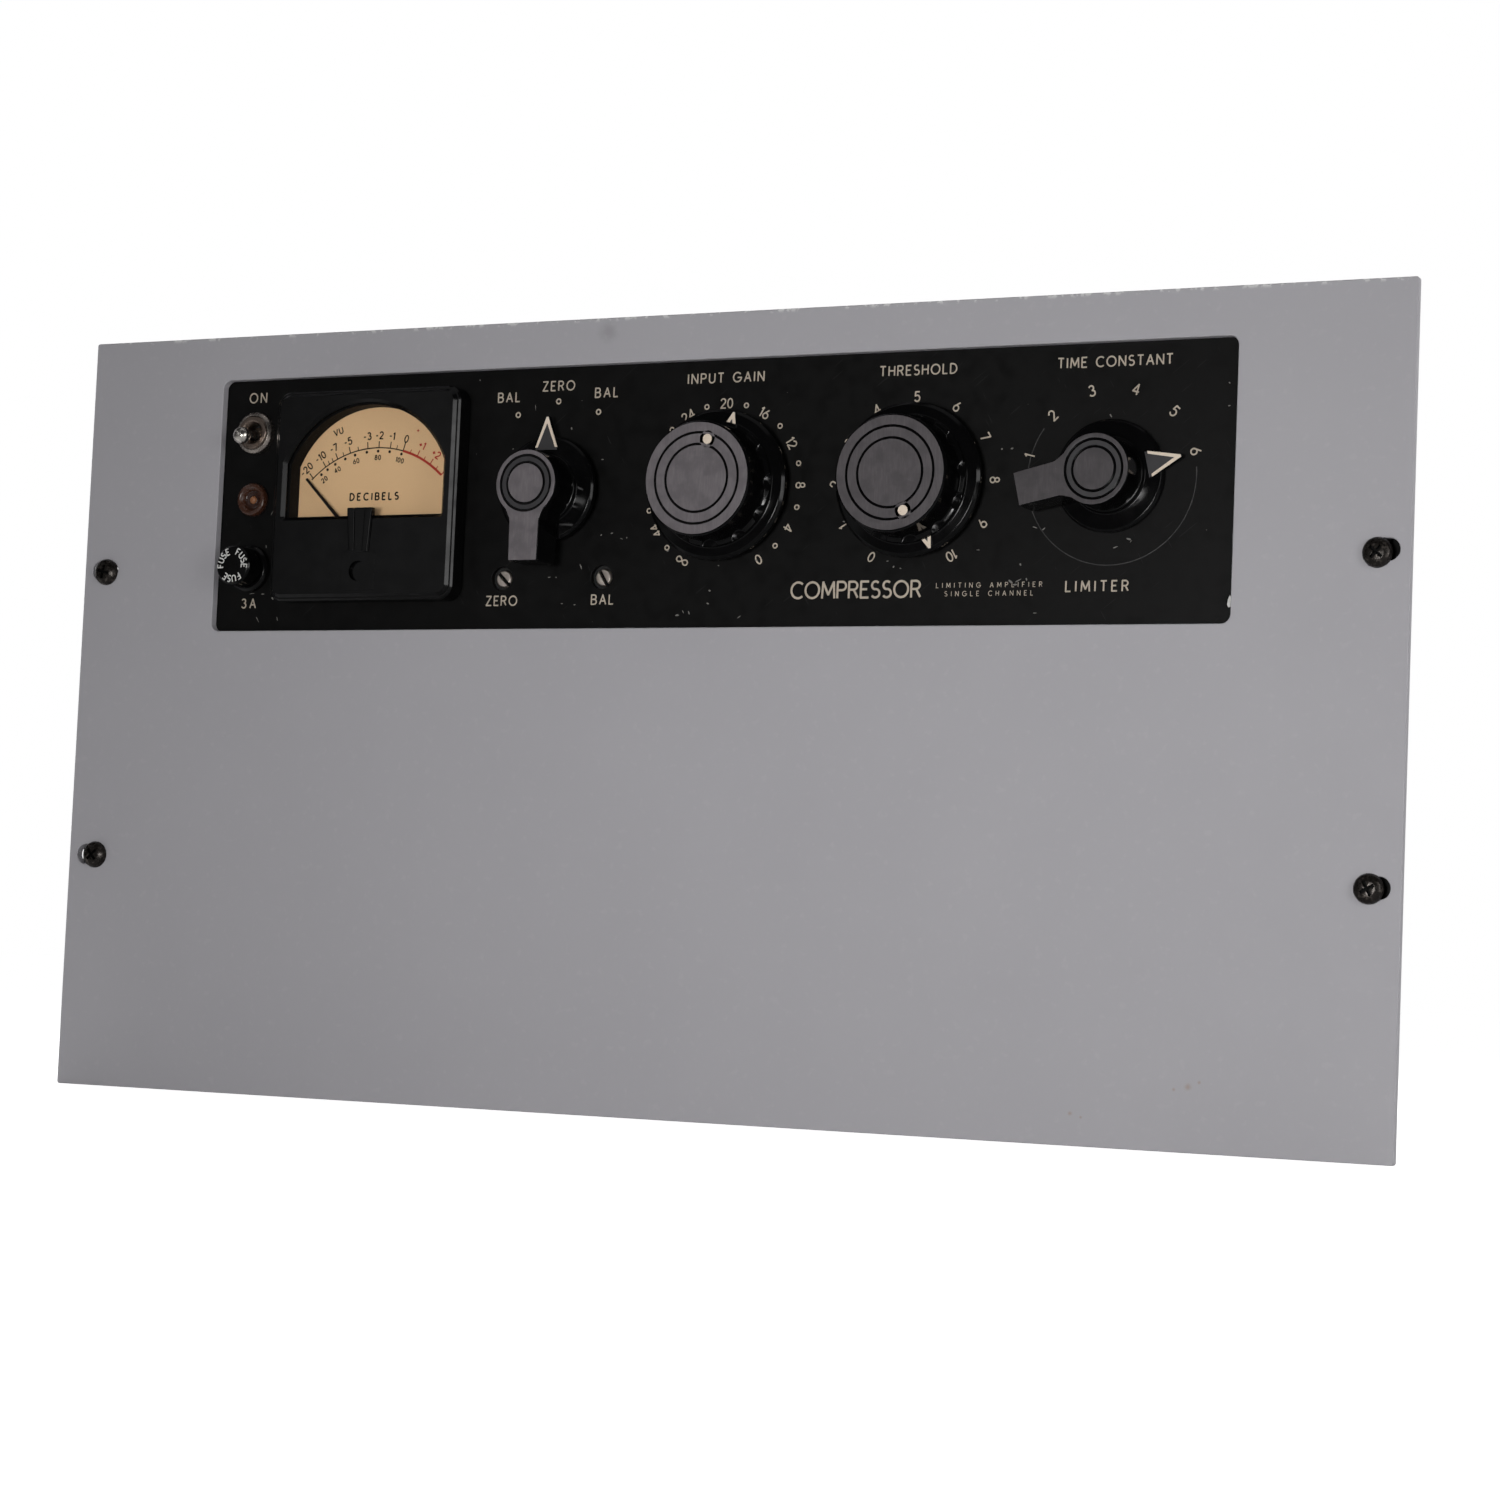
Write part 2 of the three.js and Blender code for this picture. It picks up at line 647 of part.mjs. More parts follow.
add('zero_adjuster_shaft', adjusterShaft(zeroX, 45), finish.nickel)
add('zero_adjuster_control', adjusterControl(zeroX), finish.brown)
add('balance_adjuster_shaft', adjusterShaft(balanceX, 52), finish.nickel)
add('balance_adjuster_control', adjusterControl(balanceX), finish.brown)

// ---- chassis tray and rear brackets -------------------------------------------------

const socketHole = 10.6
const gainValveXs = [-96, -60, -24, 12]
const driverValveX = 48
const smallValveZ = 214
const outputValveXs = [-98, -62]
const powerValveZ = 146
const rectifierX = -18

function chassisTray() {
  const outer = box(-trayHalfWidth, trayHalfWidth, panelThickness + seatGap, deckRear, trayBottom, trayTop)
  const inner = box(
    -trayHalfWidth + sheet, trayHalfWidth - sheet, 0, deckRear - sheet,
    trayBottom + sheet, trayTop - sheet
  )
  const small = [...gainValveXs, driverValveX].map(
    (x) => disc(x, smallValveZ, socketHole, deckRear - 5, deckRear + 5, 12)
  )
  const output = outputValveXs.map(
    (x) => disc(x, powerValveZ, socketHole, deckRear - 5, deckRear + 5, 12)
  )
  const octal = disc(rectifierX, powerValveZ, 15.2, deckRear - 5, deckRear + 5, 12)
  const front = panelThickness + seatGap
  const ears = [-1, 1].map((side) => {
    const ends = [side * (trayHalfWidth - sheet), side * earReach]
    return box(Math.min(...ends), Math.max(...ends), front, front + sheet, earBottom, earTop)
  })
  const screwHoles = rackSlots.map(
    ([, , , x, z]) => disc(x, z, earScrewHole, front - 1, front + sheet + 1, 12)
  )
  return cut(join(cut(outer, inner), ...ears), ...small, ...output, octal, ...screwHoles)
}

// Bent bracket at the rear: upright web, mounting flange and foot.
function rearBracket(side) {
  const web = new THREE.Shape()
  web.moveTo(rearSeat, 0)
  web.lineTo(bracketRear, 0)
  web.lineTo(bracketRear, 44)
  web.lineTo(rearSeat + 26, 246)
  web.lineTo(rearSeat, 246)
  web.closePath()
  const window = new THREE.Path()
  window.moveTo(rearSeat + 20, 24)
  window.lineTo(bracketRear - 20, 24)
  window.lineTo(bracketRear - 22, 44)
  window.lineTo(rearSeat + 42, 150)
  window.lineTo(rearSeat + 20, 150)
  window.closePath()
  web.holes.push(window)
  const geometry = new THREE.ExtrudeGeometry(web, { depth: 2, bevelEnabled: false, curveSegments: 2 })
  // The shape is drawn in (Y, Z) and given its thickness along X.
  geometry.applyMatrix4(new THREE.Matrix4().set(0, 0, 1, 0, 1, 0, 0, 0, 0, 1, 0, 0, 0, 0, 0, 1))
  const x0 = side * bracketX - 1
  geometry.translate(x0, 0, 0)
  const inward = -side
  const span = (from, to) => (from < to ? [from, to] : [to, from])
  const [fx0, fx1] = span(side * bracketX, side * bracketX + inward * bracketFoot)
  const foot = box(fx0, fx1, rearSeat, bracketRear, 0, 2)
  const flange = box(fx0, fx1, rearSeat, rearSeat + 2, 0, 246)
  return join(solid(geometry), foot, flange)
}

add('chassis_tray', chassisTray(), finish.chassisSteel)
add('rear_bracket_left', rearBracket(-1), finish.chassisSteel)
add('rear_bracket_right', rearBracket(1), finish.chassisSteel)

// ---- transformers -------------------------------------------------------------------

// Laminated transformer: core between two end bells, on a flanged foot.
function laminatedTransformer(x, z, width, height, depth) {
  const y0 = rearSeat
  const foot = slab(
    roundedRectangle(x - width / 2 - 6, x + width / 2 + 6, z - height / 2 - 2, z + height / 2 + 2, 3),
    y0, y0 + 2.5, 1
  )
  const front = slab(
    roundedRectangle(x - width / 2 + 4, x + width / 2 - 4, z - height / 2 + 4, z + height / 2 - 4, 8),
    y0 + 2, y0 + depth * 0.32, 2
  )
  const core = box(
    x - width / 2, x + width / 2, y0 + depth * 0.3, y0 + depth * 0.7, z - height / 2, z + height / 2
  )
  const bell = slab(
    roundedRectangle(x - width / 2 + 2, x + width / 2 - 2, z - height / 2 + 2, z + height / 2 - 2, 9),
    y0 + depth * 0.68, y0 + depth - 5, 2
  )
  const crown = slab(
    roundedRectangle(x - width / 2 + 8, x + width / 2 - 8, z - height / 2 + 8, z + height / 2 - 8, 8),
    y0 + depth - 6, y0 + depth, 2
  )
  const bolts = []
  for (const sx of [-1, 1]) {
    for (const sz of [-1, 1]) {
      bolts.push(disc(
        x + sx * (width / 2 - 5), z + sz * (height / 2 - 5), 2.8, y0 + 1, y0 + depth * 0.78, 6
      ))
    }
  }
  return join(foot, front, core, bell, crown, ...bolts)
}

// Potted transformer in a drawn can with a flanged rim.
function pottedTransformer(x, z, width, height, depth) {
  const y0 = rearSeat
  const rim = slab(
    roundedRectangle(x - width / 2 - 4, x + width / 2 + 4, z - height / 2 - 4, z + height / 2 + 4, 6),
    y0, y0 + 2, 2
  )
  const can = slab(
    roundedRectangle(x - width / 2, x + width / 2, z - height / 2, z + height / 2, 7),
    y0 + 1.5, y0 + depth - 2, 3
  )
  const lid = slab(
    roundedRectangle(x - width / 2 + 2, x + width / 2 - 2, z - height / 2 + 2, z + height / 2 - 2, 6),
    y0 + depth - 2.2, y0 + depth, 3
  )
  return join(rim, can, lid)
}

add('power_transformer', laminatedTransformer(108, 66, 92, 84, 92), finish.coreGrey)
add('filter_choke', laminatedTransformer(22, 52, 54, 54, 62), finish.coreGrey)
add('sidechain_transformer', pottedTransformer(-46, 56, 58, 56, 70), finish.coreGrey)
add('output_transformer', pottedTransformer(-122, 64, 72, 72, 84), finish.coreGrey)
add('input_transformer', pottedTransformer(-140, 212, 44, 44, 62), finish.coreGrey)

// ---- valves and their sockets -------------------------------------------------------

// Glass valve standing on a deck socket. Lengths run rearwards from the deck.
function valve(x, z, radius, length, segments = 12) {
  const y0 = deckRear + 5
  return turned([
    [0, y0], [radius - 1.2, y0], [radius, y0 + 2], [radius, y0 + length - radius * 0.8],
    [radius * 0.86, y0 + length - radius * 0.35], [radius * 0.35, y0 + length - radius * 0.1],
    [1.6, y0 + length], [0, y0 + length + 1.5],
  ], x, z, segments)
}

// Octal valve: wide moulded base with straight-sided glass above.
function octalValve(x, z) {
  const y0 = deckRear + 5
  return turned([
    [0, y0], [15.6, y0], [16.2, y0 + 1], [16.2, y0 + 14], [17.2, y0 + 18], [17.8, y0 + 26],
    [17.8, y0 + 62], [15, y0 + 71], [8, y0 + 76], [0, y0 + 77.5],
  ], x, z, 16)
}

// Plate of moulded sockets, given as [x, radius]; each body drops through its hole in the deck.
function socketPlate(sockets, z, halfHeight) {
  const left = sockets[0][0] - 17
  const right = sockets[sockets.length - 1][0] + 22
  const shape = roundedRectangle(left, right, z - halfHeight, z + halfHeight, 4)
  const plate = slab(shape, rearSeat, rearSeat + 1.6, 3)
  const bodies = sockets.map(([x, radius]) => disc(x, z, radius, deckRear - 9, deckRear + 4.8, 10))
  return join(plate, ...bodies)
}

gainValveXs.forEach((x, i) => {
  add(`gain_valve_${i + 1}`, valve(x, smallValveZ, 11, 50), finish.valveGlass)
})
add('driver_valve', valve(driverValveX, smallValveZ, 11, 46), finish.valveGlass)
outputValveXs.forEach((x, i) => {
  add(`output_valve_${i + 1}`, valve(x, powerValveZ, 11, 64), finish.valveGlass)
})
add('rectifier_valve', octalValve(rectifierX, powerValveZ), finish.valveGlass)
const smallSockets = [...gainValveXs, driverValveX].map((x) => [x, 10])
const powerSockets = [...outputValveXs.map((x) => [x, 10]), [rectifierX, 14.5]]
add('small_valve_socket_plate', socketPlate(smallSockets, smallValveZ, 17), finish.brown)
add('power_valve_socket_plate', socketPlate(powerSockets, powerValveZ, 21), finish.brown)

// ---- filter capacitors, terminals, inlet, board -------------------------------------

function filterCapacitor(x, z, radius, length) {
  const y0 = rearSeat
  return turned([
    [0, y0], [radius + 5, y0], [radius + 5, y0 + 1.5], [radius, y0 + 2], [radius, y0 + length - 1.2],
    [radius - 1, y0 + length], [radius - 3, y0 + length - 1.2],
    [0, y0 + length - 1.2],
  ], x, z, 20)
}

// Barrier strip for the audio connections: base, dividing walls and screws.
function terminalStrip(x, z, count) {
  const pitch = 11
  const y0 = rearSeat
  const half = (count * pitch) / 2
  const base = box(x - half - 8, x + half + 8, y0, y0 + 6, z - 11, z + 11)
  const pieces = [base]
  for (let i = 0; i <= count; i += 1) {
    const wallX = x - half + i * pitch
    pieces.push(box(wallX - 0.9, wallX + 0.9, y0 + 5, y0 + 13, z - 11, z + 11))
  }
  for (let i = 0; i < count; i += 1) {
    for (const dz of [-5, 5]) {
      pieces.push(disc(x - half + (i + 0.5) * pitch, z + dz, 3, y0 + 5, y0 + 8.5, 4))
    }
  }
  return join(...pieces)
}

// Two-blade recessed mains inlet.
function mainsInlet(x, z) {
  const y0 = rearSeat
  const flange = slab(roundedRectangle(x - 19, x + 19, z - 15, z + 15, 6), y0, y0 + 2.5, 4)
  const shell = disc(x, z, 13.5, y0 + 1, y0 + 16, 16)
  const well = disc(x, z, 11.6, y0 + 4, y0 + 20, 16)
  const blades = [-6.3, 6.3].map((dx) => box(x + dx - 0.8, x + dx + 0.8, y0 + 2, y0 + 14, z - 3.2, z + 3.2))
  return join(cut(join(flange, shell), well), ...blades)
}

// Turret board carrying the small resistors and capacitors, on four standoffs.
function componentBoard() {
  const y0 = 58
  const board = box(-150, 150, y0, y0 + 2.5, 24, 138)
  const standoffs = []
  for (const x of [-142, 142]) {
    for (const z of [32, 130]) {
      standoffs.push(disc(x, z, 3.5, y0 + 2, deckRear - sheet - 0.3, 12))
    }
  }
  const parts = []
  const columns = 8
  for (let i = 0; i < columns; i += 1) {
    const x = -126 + i * 36
    const large = i % 3 === 1
    const half = large ? 6 : 3
    parts.push(box(x - half, x + half, y0 - half * 1.5, y0 + 1, 86, large ? 124 : 108))
    parts.push(box(x - 3, x + 3, y0 - 5, y0 + 1, 40, 58))
  }
  return join(board, ...standoffs, ...parts)
}

add('filter_capacitor_1', filterCapacitor(36, 142, 17.5, 76), finish.canAluminium)
add('filter_capacitor_2', filterCapacitor(86, 150, 17.5, 76), finish.canAluminium)
add('audio_terminal_strip', terminalStrip(120, 238, 7), finish.blackMoulding)
add('mains_inlet', mainsInlet(140, 200), finish.blackMoulding)
add('component_board', componentBoard(), finish.board)

export default group
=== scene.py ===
"""The looks of a rack-mounted valve compressor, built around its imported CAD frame."""
import math

import bmesh
import bpy
from mathutils import Matrix, Vector


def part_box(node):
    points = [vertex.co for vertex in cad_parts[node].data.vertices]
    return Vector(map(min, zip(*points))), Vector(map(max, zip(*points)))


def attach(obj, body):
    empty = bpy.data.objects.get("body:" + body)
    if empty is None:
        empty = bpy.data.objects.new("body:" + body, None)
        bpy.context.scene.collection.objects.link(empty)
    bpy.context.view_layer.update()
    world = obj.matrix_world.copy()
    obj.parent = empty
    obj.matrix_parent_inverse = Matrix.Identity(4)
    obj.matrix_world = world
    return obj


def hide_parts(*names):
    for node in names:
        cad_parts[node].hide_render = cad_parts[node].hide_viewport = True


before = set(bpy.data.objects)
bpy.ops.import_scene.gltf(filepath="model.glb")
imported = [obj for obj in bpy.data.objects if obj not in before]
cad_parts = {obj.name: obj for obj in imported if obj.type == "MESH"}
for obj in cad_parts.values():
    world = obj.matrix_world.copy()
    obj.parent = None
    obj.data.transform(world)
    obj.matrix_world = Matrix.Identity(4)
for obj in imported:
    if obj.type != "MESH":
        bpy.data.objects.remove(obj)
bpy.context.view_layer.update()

# ---- measures: millimetres from the middle of the panel's foot, +y into the unit ----

MM = 0.001
panel_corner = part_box("rack_panel")[0]
origin = Vector((0, panel_corner.y, panel_corner.z))


def low(node):
    return (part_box(node)[0] - origin) / MM


def high(node):
    return (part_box(node)[1] - origin) / MM


def extent(node):
    """The low and high corners of a node's box, and the (x, z) place of its middle."""
    a, b = low(node), high(node)
    centre = (a + b) / 2
    return a, b, (centre.x, centre.z)


def axis(node):
    return extent(node)[2]


plate_face = low("control_plate").y
deck_rear = high("chassis_tray").y

# ---- outlines: lists of (x, z) points ----


def arc(x, z, rx, rz, start, end, steps=12):
    """Points on an ellipse, from one angle to another in degrees, anticlockwise from +x."""
    turns = [math.radians(start + (end - start) * i / steps) for i in range(steps + 1)]
    return [(x + rx * math.cos(t), z + rz * math.sin(t)) for t in turns]


def circle(place, radius, steps=48):
    return arc(*place, radius, radius, 0, 360, steps)[:-1]


def rounded(place, half_x, half_z, radius, steps=6):
    """A rectangle about a place with round corners, anticlockwise."""
    points = []
    for side_x, side_z, start in ((1, -1, -90), (1, 1, 0), (-1, 1, 90), (-1, -1, 180)):
        x = place[0] + side_x * (half_x - radius)
        z = place[1] + side_z * (half_z - radius)
        points += arc(x, z, radius, radius, start, start + 90, steps)
    return points


def inset(a, b, margin, radius, steps=6):
    """The outline of the box from a to b, drawn in by a margin, with round corners."""
    place = ((a.x + b.x) / 2, (a.z + b.z) / 2)
    return rounded(place, (b.x - a.x) / 2 - margin, (b.z - a.z) / 2 - margin, radius, steps)


def filleted(points, closed=False):
    """Rounds the corners of (a, b, radius) points; those without a radius stay sharp."""
    result = []
    count = len(points)
    for i, point in enumerate(points):
        radius = point[2] if len(point) > 2 else 0
        if not radius or (not closed and i in (0, count - 1)):
            result.append(point[:2])
            continue
        here = Vector(point[:2])
        before = Vector(points[i - 1][:2]) - here
        after = Vector(points[(i + 1) % count][:2]) - here
        half = before.angle(after) / 2
        reach = min(radius / math.tan(half), before.length * 0.49, after.length * 0.49)
        start = here + before.normalized() * reach
        end = here + after.normalized() * reach
        for t in (0, 0.25, 0.5, 0.75, 1):
            result.append(tuple(start * (1 - t) ** 2 + here * 2 * t * (1 - t) + end * t ** 2))
    return result


def mirrored(place, half):
    """An outline alike to left and right of a place, from the points of its right side."""
    x, z = place
    right = [(x + dx, z + dz, *fillet) for dx, dz, *fillet in half]
    left = [(x - dx, z + dz, *fillet) for dx, dz, *fillet in half]
    return filleted([left[0], *right, *left[:0:-1]], closed=True)


def around(place, radius, degrees):
    """The point at a clock angle about a place, clockwise from the top."""
    a = math.radians(degrees)
    return place[0] + radius * math.sin(a), place[1] + radius * math.cos(a)


# ---- meshes, in millimetres ----

WELD_REACH = 0.0005  # points closer than this are one point
SHARP_ANGLE = math.radians(32)


def loose(data):
    obj = bpy.data.objects.new("part", data)
    bpy.context.scene.collection.objects.link(obj)
    return obj


def taken(obj):
    """The mesh of an object with its modifiers applied; the object goes."""
    bpy.context.view_layer.update()
    shaped = obj.evaluated_get(bpy.context.evaluated_depsgraph_get())
    mesh = bpy.data.meshes.new_from_object(shaped)
    data = obj.data
    bpy.data.objects.remove(obj)
    if isinstance(data, bpy.types.Curve):
        bpy.data.curves.remove(data)
    return mesh


def meshed(bm, name="part"):
    mesh = bpy.data.meshes.new(name)
    bm.to_mesh(mesh)
    bm.free()
    return mesh


def welded(mesh):
    bm = bmesh.new()
    bm.from_mesh(mesh)
    bmesh.ops.remove_doubles(bm, verts=bm.verts, dist=WELD_REACH)
    bmesh.ops.dissolve_degenerate(bm, edges=bm.edges, dist=WELD_REACH)
    bmesh.ops.recalc_face_normals(bm, faces=bm.faces)
    bm.to_mesh(mesh)
    bm.free()
    return mesh


def joined(meshes):
    bm = bmesh.new()
    for mesh in meshes:
        bm.from_mesh(mesh)
    return meshed(bm)


def drawn(lines, y, squeeze=1.0, closed=False, **settings):
    """The mesh of a curve along lines of (x, z) points, its thickness in y squeezed."""
    curve = bpy.data.curves.new("outline", "CURVE")
    for setting, value in settings.items():
        setattr(curve, setting, value)
    for line in lines:
        spline = curve.splines.new("POLY")
        spline.points.add(len(line) - 1)
        spline.use_cyclic_u = closed
        for point, (x, z) in zip(spline.points, line):
            point.co = (x, z, 0, 1)
    mesh = taken(loose(curve))
    mesh.transform(Matrix(((1, 0, 0, 0), (0, 0, -squeeze, y), (0, 1, 0, 0), (0, 0, 0, 1))))
    return mesh


def prism(outline, y0, y1, bevel=0.3, steps=3, holes=()):
    """A flat shape from y0 to y1 with rounded rims, with holes through it."""
    loops = []
    for loop in (outline, *holes):
        area = sum(p[0] * q[1] - q[0] * p[1] for p, q in zip(loop, loop[1:] + loop[:1]))
        loops.append(loop if (area > 0) == (loop is outline) else loop[::-1])
    return welded(drawn(
        loops, (y0 + y1) / 2, closed=True, dimensions="2D", fill_mode="BOTH",
        extrude=(y1 - y0) / 2 - bevel, bevel_depth=bevel, bevel_resolution=steps - 1, offset=-bevel,
    ))


def wire(paths, radius, squeeze, y):
    """Round strokes along lines of (x, z) points, pressed flat in y by squeeze."""
    return drawn(paths, y, squeeze, dimensions="3D", bevel_depth=radius, bevel_resolution=2,
                 use_fill_caps=True)


def turned(profile, place, segments=72):
    """Turned on the axis along y through a place, from (radius, y) or (radius, y, fillet) points."""
    x, z = place
    line = filleted(profile)
    turns = [math.tau * i / segments for i in range(segments)]
    bm = bmesh.new()
    rings = []
    for r, y in line:
        spokes = turns if r > 1e-6 else [0]
        rings.append([bm.verts.new((x + r * math.cos(t), y, z + r * math.sin(t))) for t in spokes])
    pairs = list(zip(rings, rings[1:]))
    if line[0][0] > 0 and math.dist(line[0], line[-1]) > 1e-6:
        pairs.append((rings[-1], rings[0]))
    for a, b in pairs:
        for i in range(segments):
            j = (i + 1) % segments
            corners = [a[i % len(a)], a[j % len(a)], b[j % len(b)], b[i % len(b)]]
            face = list(dict.fromkeys(corners))
            if len(face) > 2:
                bm.faces.new(face)
    return welded(meshed(bm))


def disc(place, radius, y0, y1, bevel=0.3, segments=48):
    return turned([(0, y0), (radius, y0, bevel), (radius, y1, bevel), (0, y1)], place, segments)


def block(place, half_x, half_z, y0, y1, bevel=0.3):
    """A box about a place, from y0 to y1, with every edge rounded."""
    bm = bmesh.new()
    bmesh.ops.create_cube(bm, size=1)
    size = Vector((2 * half_x, y1 - y0, 2 * half_z))
    centre = Vector((place[0], (y0 + y1) / 2, place[1]))
    for v in bm.verts:
        v.co = Vector(a * b for a, b in zip(v.co, size)) + centre
    if bevel:
        bmesh.ops.bevel(bm, geom=bm.edges, offset=bevel, segments=3, profile=0.5, affect="EDGES")
    return meshed(bm)


def cut(mesh, *others):
    """The mesh less the others."""
    obj = loose(mesh)
    tools = [loose(other) for other in others]
    for tool in tools:
        modifier = obj.modifiers.new("boolean", "BOOLEAN")
        modifier.operation = "DIFFERENCE"
        modifier.object = tool
        modifier.solver = "EXACT"
    result = taken(obj)
    for tool in tools:
        bpy.data.objects.remove(tool)
    return result


def softened(mesh, width, angle=50):
    """Edges sharper than angle, in degrees, rounded to width."""
    obj = loose(mesh)
    modifier = obj.modifiers.new("bevel", "BEVEL")
    modifier.width = width
    modifier.segments = 2
    modifier.limit_method = "ANGLE"
    modifier.angle_limit = math.radians(angle)
    modifier.use_clamp_overlap = True
    return taken(obj)


def spun(mesh, place, degrees):
    """Turned clockwise, as seen from the front, about the axis along y through a place."""
    move = Matrix.Translation((place[0], 0, place[1]))
    mesh.transform(move @ Matrix.Rotation(math.radians(degrees), 4, "Y") @ move.inverted())
    return mesh


def piece(name, parts, node=None, body="chassis"):
    """One visible piece from (mesh or list of meshes, finish) parts.

    A finish may be a function of a face's centre and normal."""
    bm = bmesh.new()
    finishes = []
    for meshes, finish in parts:
        for mesh in meshes if isinstance(meshes, list) else [meshes]:
            for polygon in mesh.polygons:
                chosen = finish(polygon.center, polygon.normal) if callable(finish) else finish
                if chosen not in finishes:
                    finishes.append(chosen)
                polygon.material_index = finishes.index(chosen)
            bm.from_mesh(mesh)
    merged = meshed(bm, name)
    merged.transform(Matrix.Translation(origin) @ Matrix.Scale(MM, 4))
    for finish in finishes:
        merged.materials.append(finish)
    merged.shade_smooth()
    merged.set_sharp_from_angle(angle=SHARP_ANGLE)
    obj = bpy.data.objects.new(name, merged)
    bpy.context.scene.collection.objects.link(obj)
    even = obj.modifiers.new("even_normals", "WEIGHTED_NORMAL")
    even.keep_sharp = True
    even.weight = 90
    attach(obj, body)
    if node:
        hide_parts(node)


def keep(finish, *nodes, bevel=0.25):
    """CAD nodes that stay as they are, with a finish and softly rounded edges."""
    for node in nodes:
        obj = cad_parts[node]
        obj.data.materials.clear()
        obj.data.materials.append(finish)
        weld = obj.modifiers.new("weld", "WELD")
        weld.merge_threshold = 1e-6
        rounding = obj.modifiers.new("bevel", "BEVEL")
        rounding.width = bevel * MM
        rounding.segments = 2
        rounding.limit_method = "ANGLE"
        rounding.angle_limit = math.radians(50)
        rounding.harden_normals = True


# ---- finishes ----


class Finish:
    """A procedural material: a Principled shader with short calls that feed it. Distances are in mm."""

    def __init__(self, name, roughness=0.5, metallic=0.0, shine=0.5, **sockets):
        self.material = bpy.data.materials.new(name)
        self.material.use_nodes = True
        self.nodes = self.material.node_tree.nodes
        self.links = self.material.node_tree.links
        self.shader = self.nodes["Principled BSDF"]
        self.shader.inputs["Roughness"].default_value = roughness
        self.shader.inputs["Metallic"].default_value = metallic
        self.shader.inputs["Specular IOR Level"].default_value = shine
        for socket, value in sockets.items():
            self.shader.inputs[socket.replace("_", " ")].default_value = value
        self.place = self.nodes.new("ShaderNodeTexCoord").outputs["Object"]

    def add(self, kind, inputs, **settings):
        node = self.nodes.new("ShaderNode" + kind)
        for key, value in settings.items():
            setattr(node, key, value)
        for key, value in inputs.items():
            if isinstance(value, bpy.types.NodeSocket):
                self.links.new(value, node.inputs[key])
            else:
                node.inputs[key].default_value = value
        return node

    def noise(self, size, detail=4.0, stretch=None):
        """Cloudy noise whose lumps are about size across."""
        place = self.place
        if stretch:
            place = self.add("Mapping", {"Vector": place, "Scale": stretch}).outputs[0]
        inputs = {"Vector": place, "Scale": 1 / (size * MM), "Detail": detail, "Roughness": 0.55}
        return self.add("TexNoise", inputs).outputs["Fac"]

    def step(self, value, start, end, low_value=0.0, high_value=1.0):
        """A smooth step from low_value to high_value as value goes from start to end."""
        inputs = {
            "Value": value, "From Min": start, "From Max": end,
            "To Min": low_value, "To Max": high_value,
        }
        return self.add("MapRange", inputs, interpolation_type="SMOOTHSTEP").outputs[0]

    def math(self, operation, a, b=0.0):
        return self.add("Math", {0: a, 1: b}, operation=operation).outputs[0]

    def times(self, a, b):
        return self.math("MULTIPLY", a, b)

    def mix(self, factor, a, b):
        inputs = {0: factor}
        for index, shade in ((6, a), (7, b)):
            inputs[index] = (*shade, 1) if isinstance(shade, (tuple, list)) else shade
        return self.add("Mix", inputs, data_type="RGBA").outputs[2]

    def mottle(self, dark, light, size, stretch=None):
        """Two close colours in soft clouds."""
        return self.mix(self.noise(size, 5, stretch), dark, light)

    def specks(self, spacing, radius, share):
        """Small dots, one in each cell of the given spacing, kept in the given share of the cells."""
        cells = self.add("TexVoronoi", {"Vector": self.place, "Scale": 1 / (spacing * MM)})
        spread = self.add("SeparateColor", {0: cells.outputs["Color"]}).outputs[0]
        present = self.math("LESS_THAN", spread, share)
        dot = self.step(cells.outputs["Distance"], radius / spacing, 0.6 * radius / spacing)
        return self.times(present, dot)

    def scratches(self, length, width, share, angle):
        """Thin worn lines along one direction in the panel's plane."""
        leaning = self.add("Mapping", {"Vector": self.place, "Rotation": (0, angle, 0)}).outputs[0]
        scale = (1 / (width * MM), 1 / (length * MM), 1 / (length * MM))
        drawn_out = self.add("Mapping", {"Vector": leaning, "Scale": scale}).outputs[0]
        lines = self.add("TexNoise", {"Vector": drawn_out, "Scale": 1.0, "Detail": 1.0})
        return self.step(lines.outputs["Fac"], 1 - share, 1 - share + 0.02)

    def spot(self, x, z, radius):
        """One blotch on the panel at (x, z), with a ragged rim."""
        centre = tuple(origin + Vector((x, 0, z)) * MM)
        away = self.add("VectorMath", {0: self.place, 1: centre}, operation="DISTANCE").outputs["Value"]
        ragged = self.math("ADD", self.times(self.noise(radius * 0.6), 0.5 * radius * MM), away)
        return self.step(ragged, radius * MM * 1.25, radius * MM * 0.3)

    def colour(self, socket):
        self.links.new(socket, self.shader.inputs["Base Color"])

    def roughen(self, value, low_value, high_value):
        """Roughness that follows value, about 0.3 to 0.7, between two roughnesses."""
        self.links.new(self.step(value, 0.3, 0.7, low_value, high_value), self.shader.inputs["Roughness"])

    def bump(self, height, depth):
        """Relief from height, which runs from 0 to 1, as deep as depth."""
        node = self.add("Bump", {"Height": height, "Strength": 1.0, "Distance": depth * MM})
        self.links.new(node.outputs[0], self.shader.inputs["Normal"])


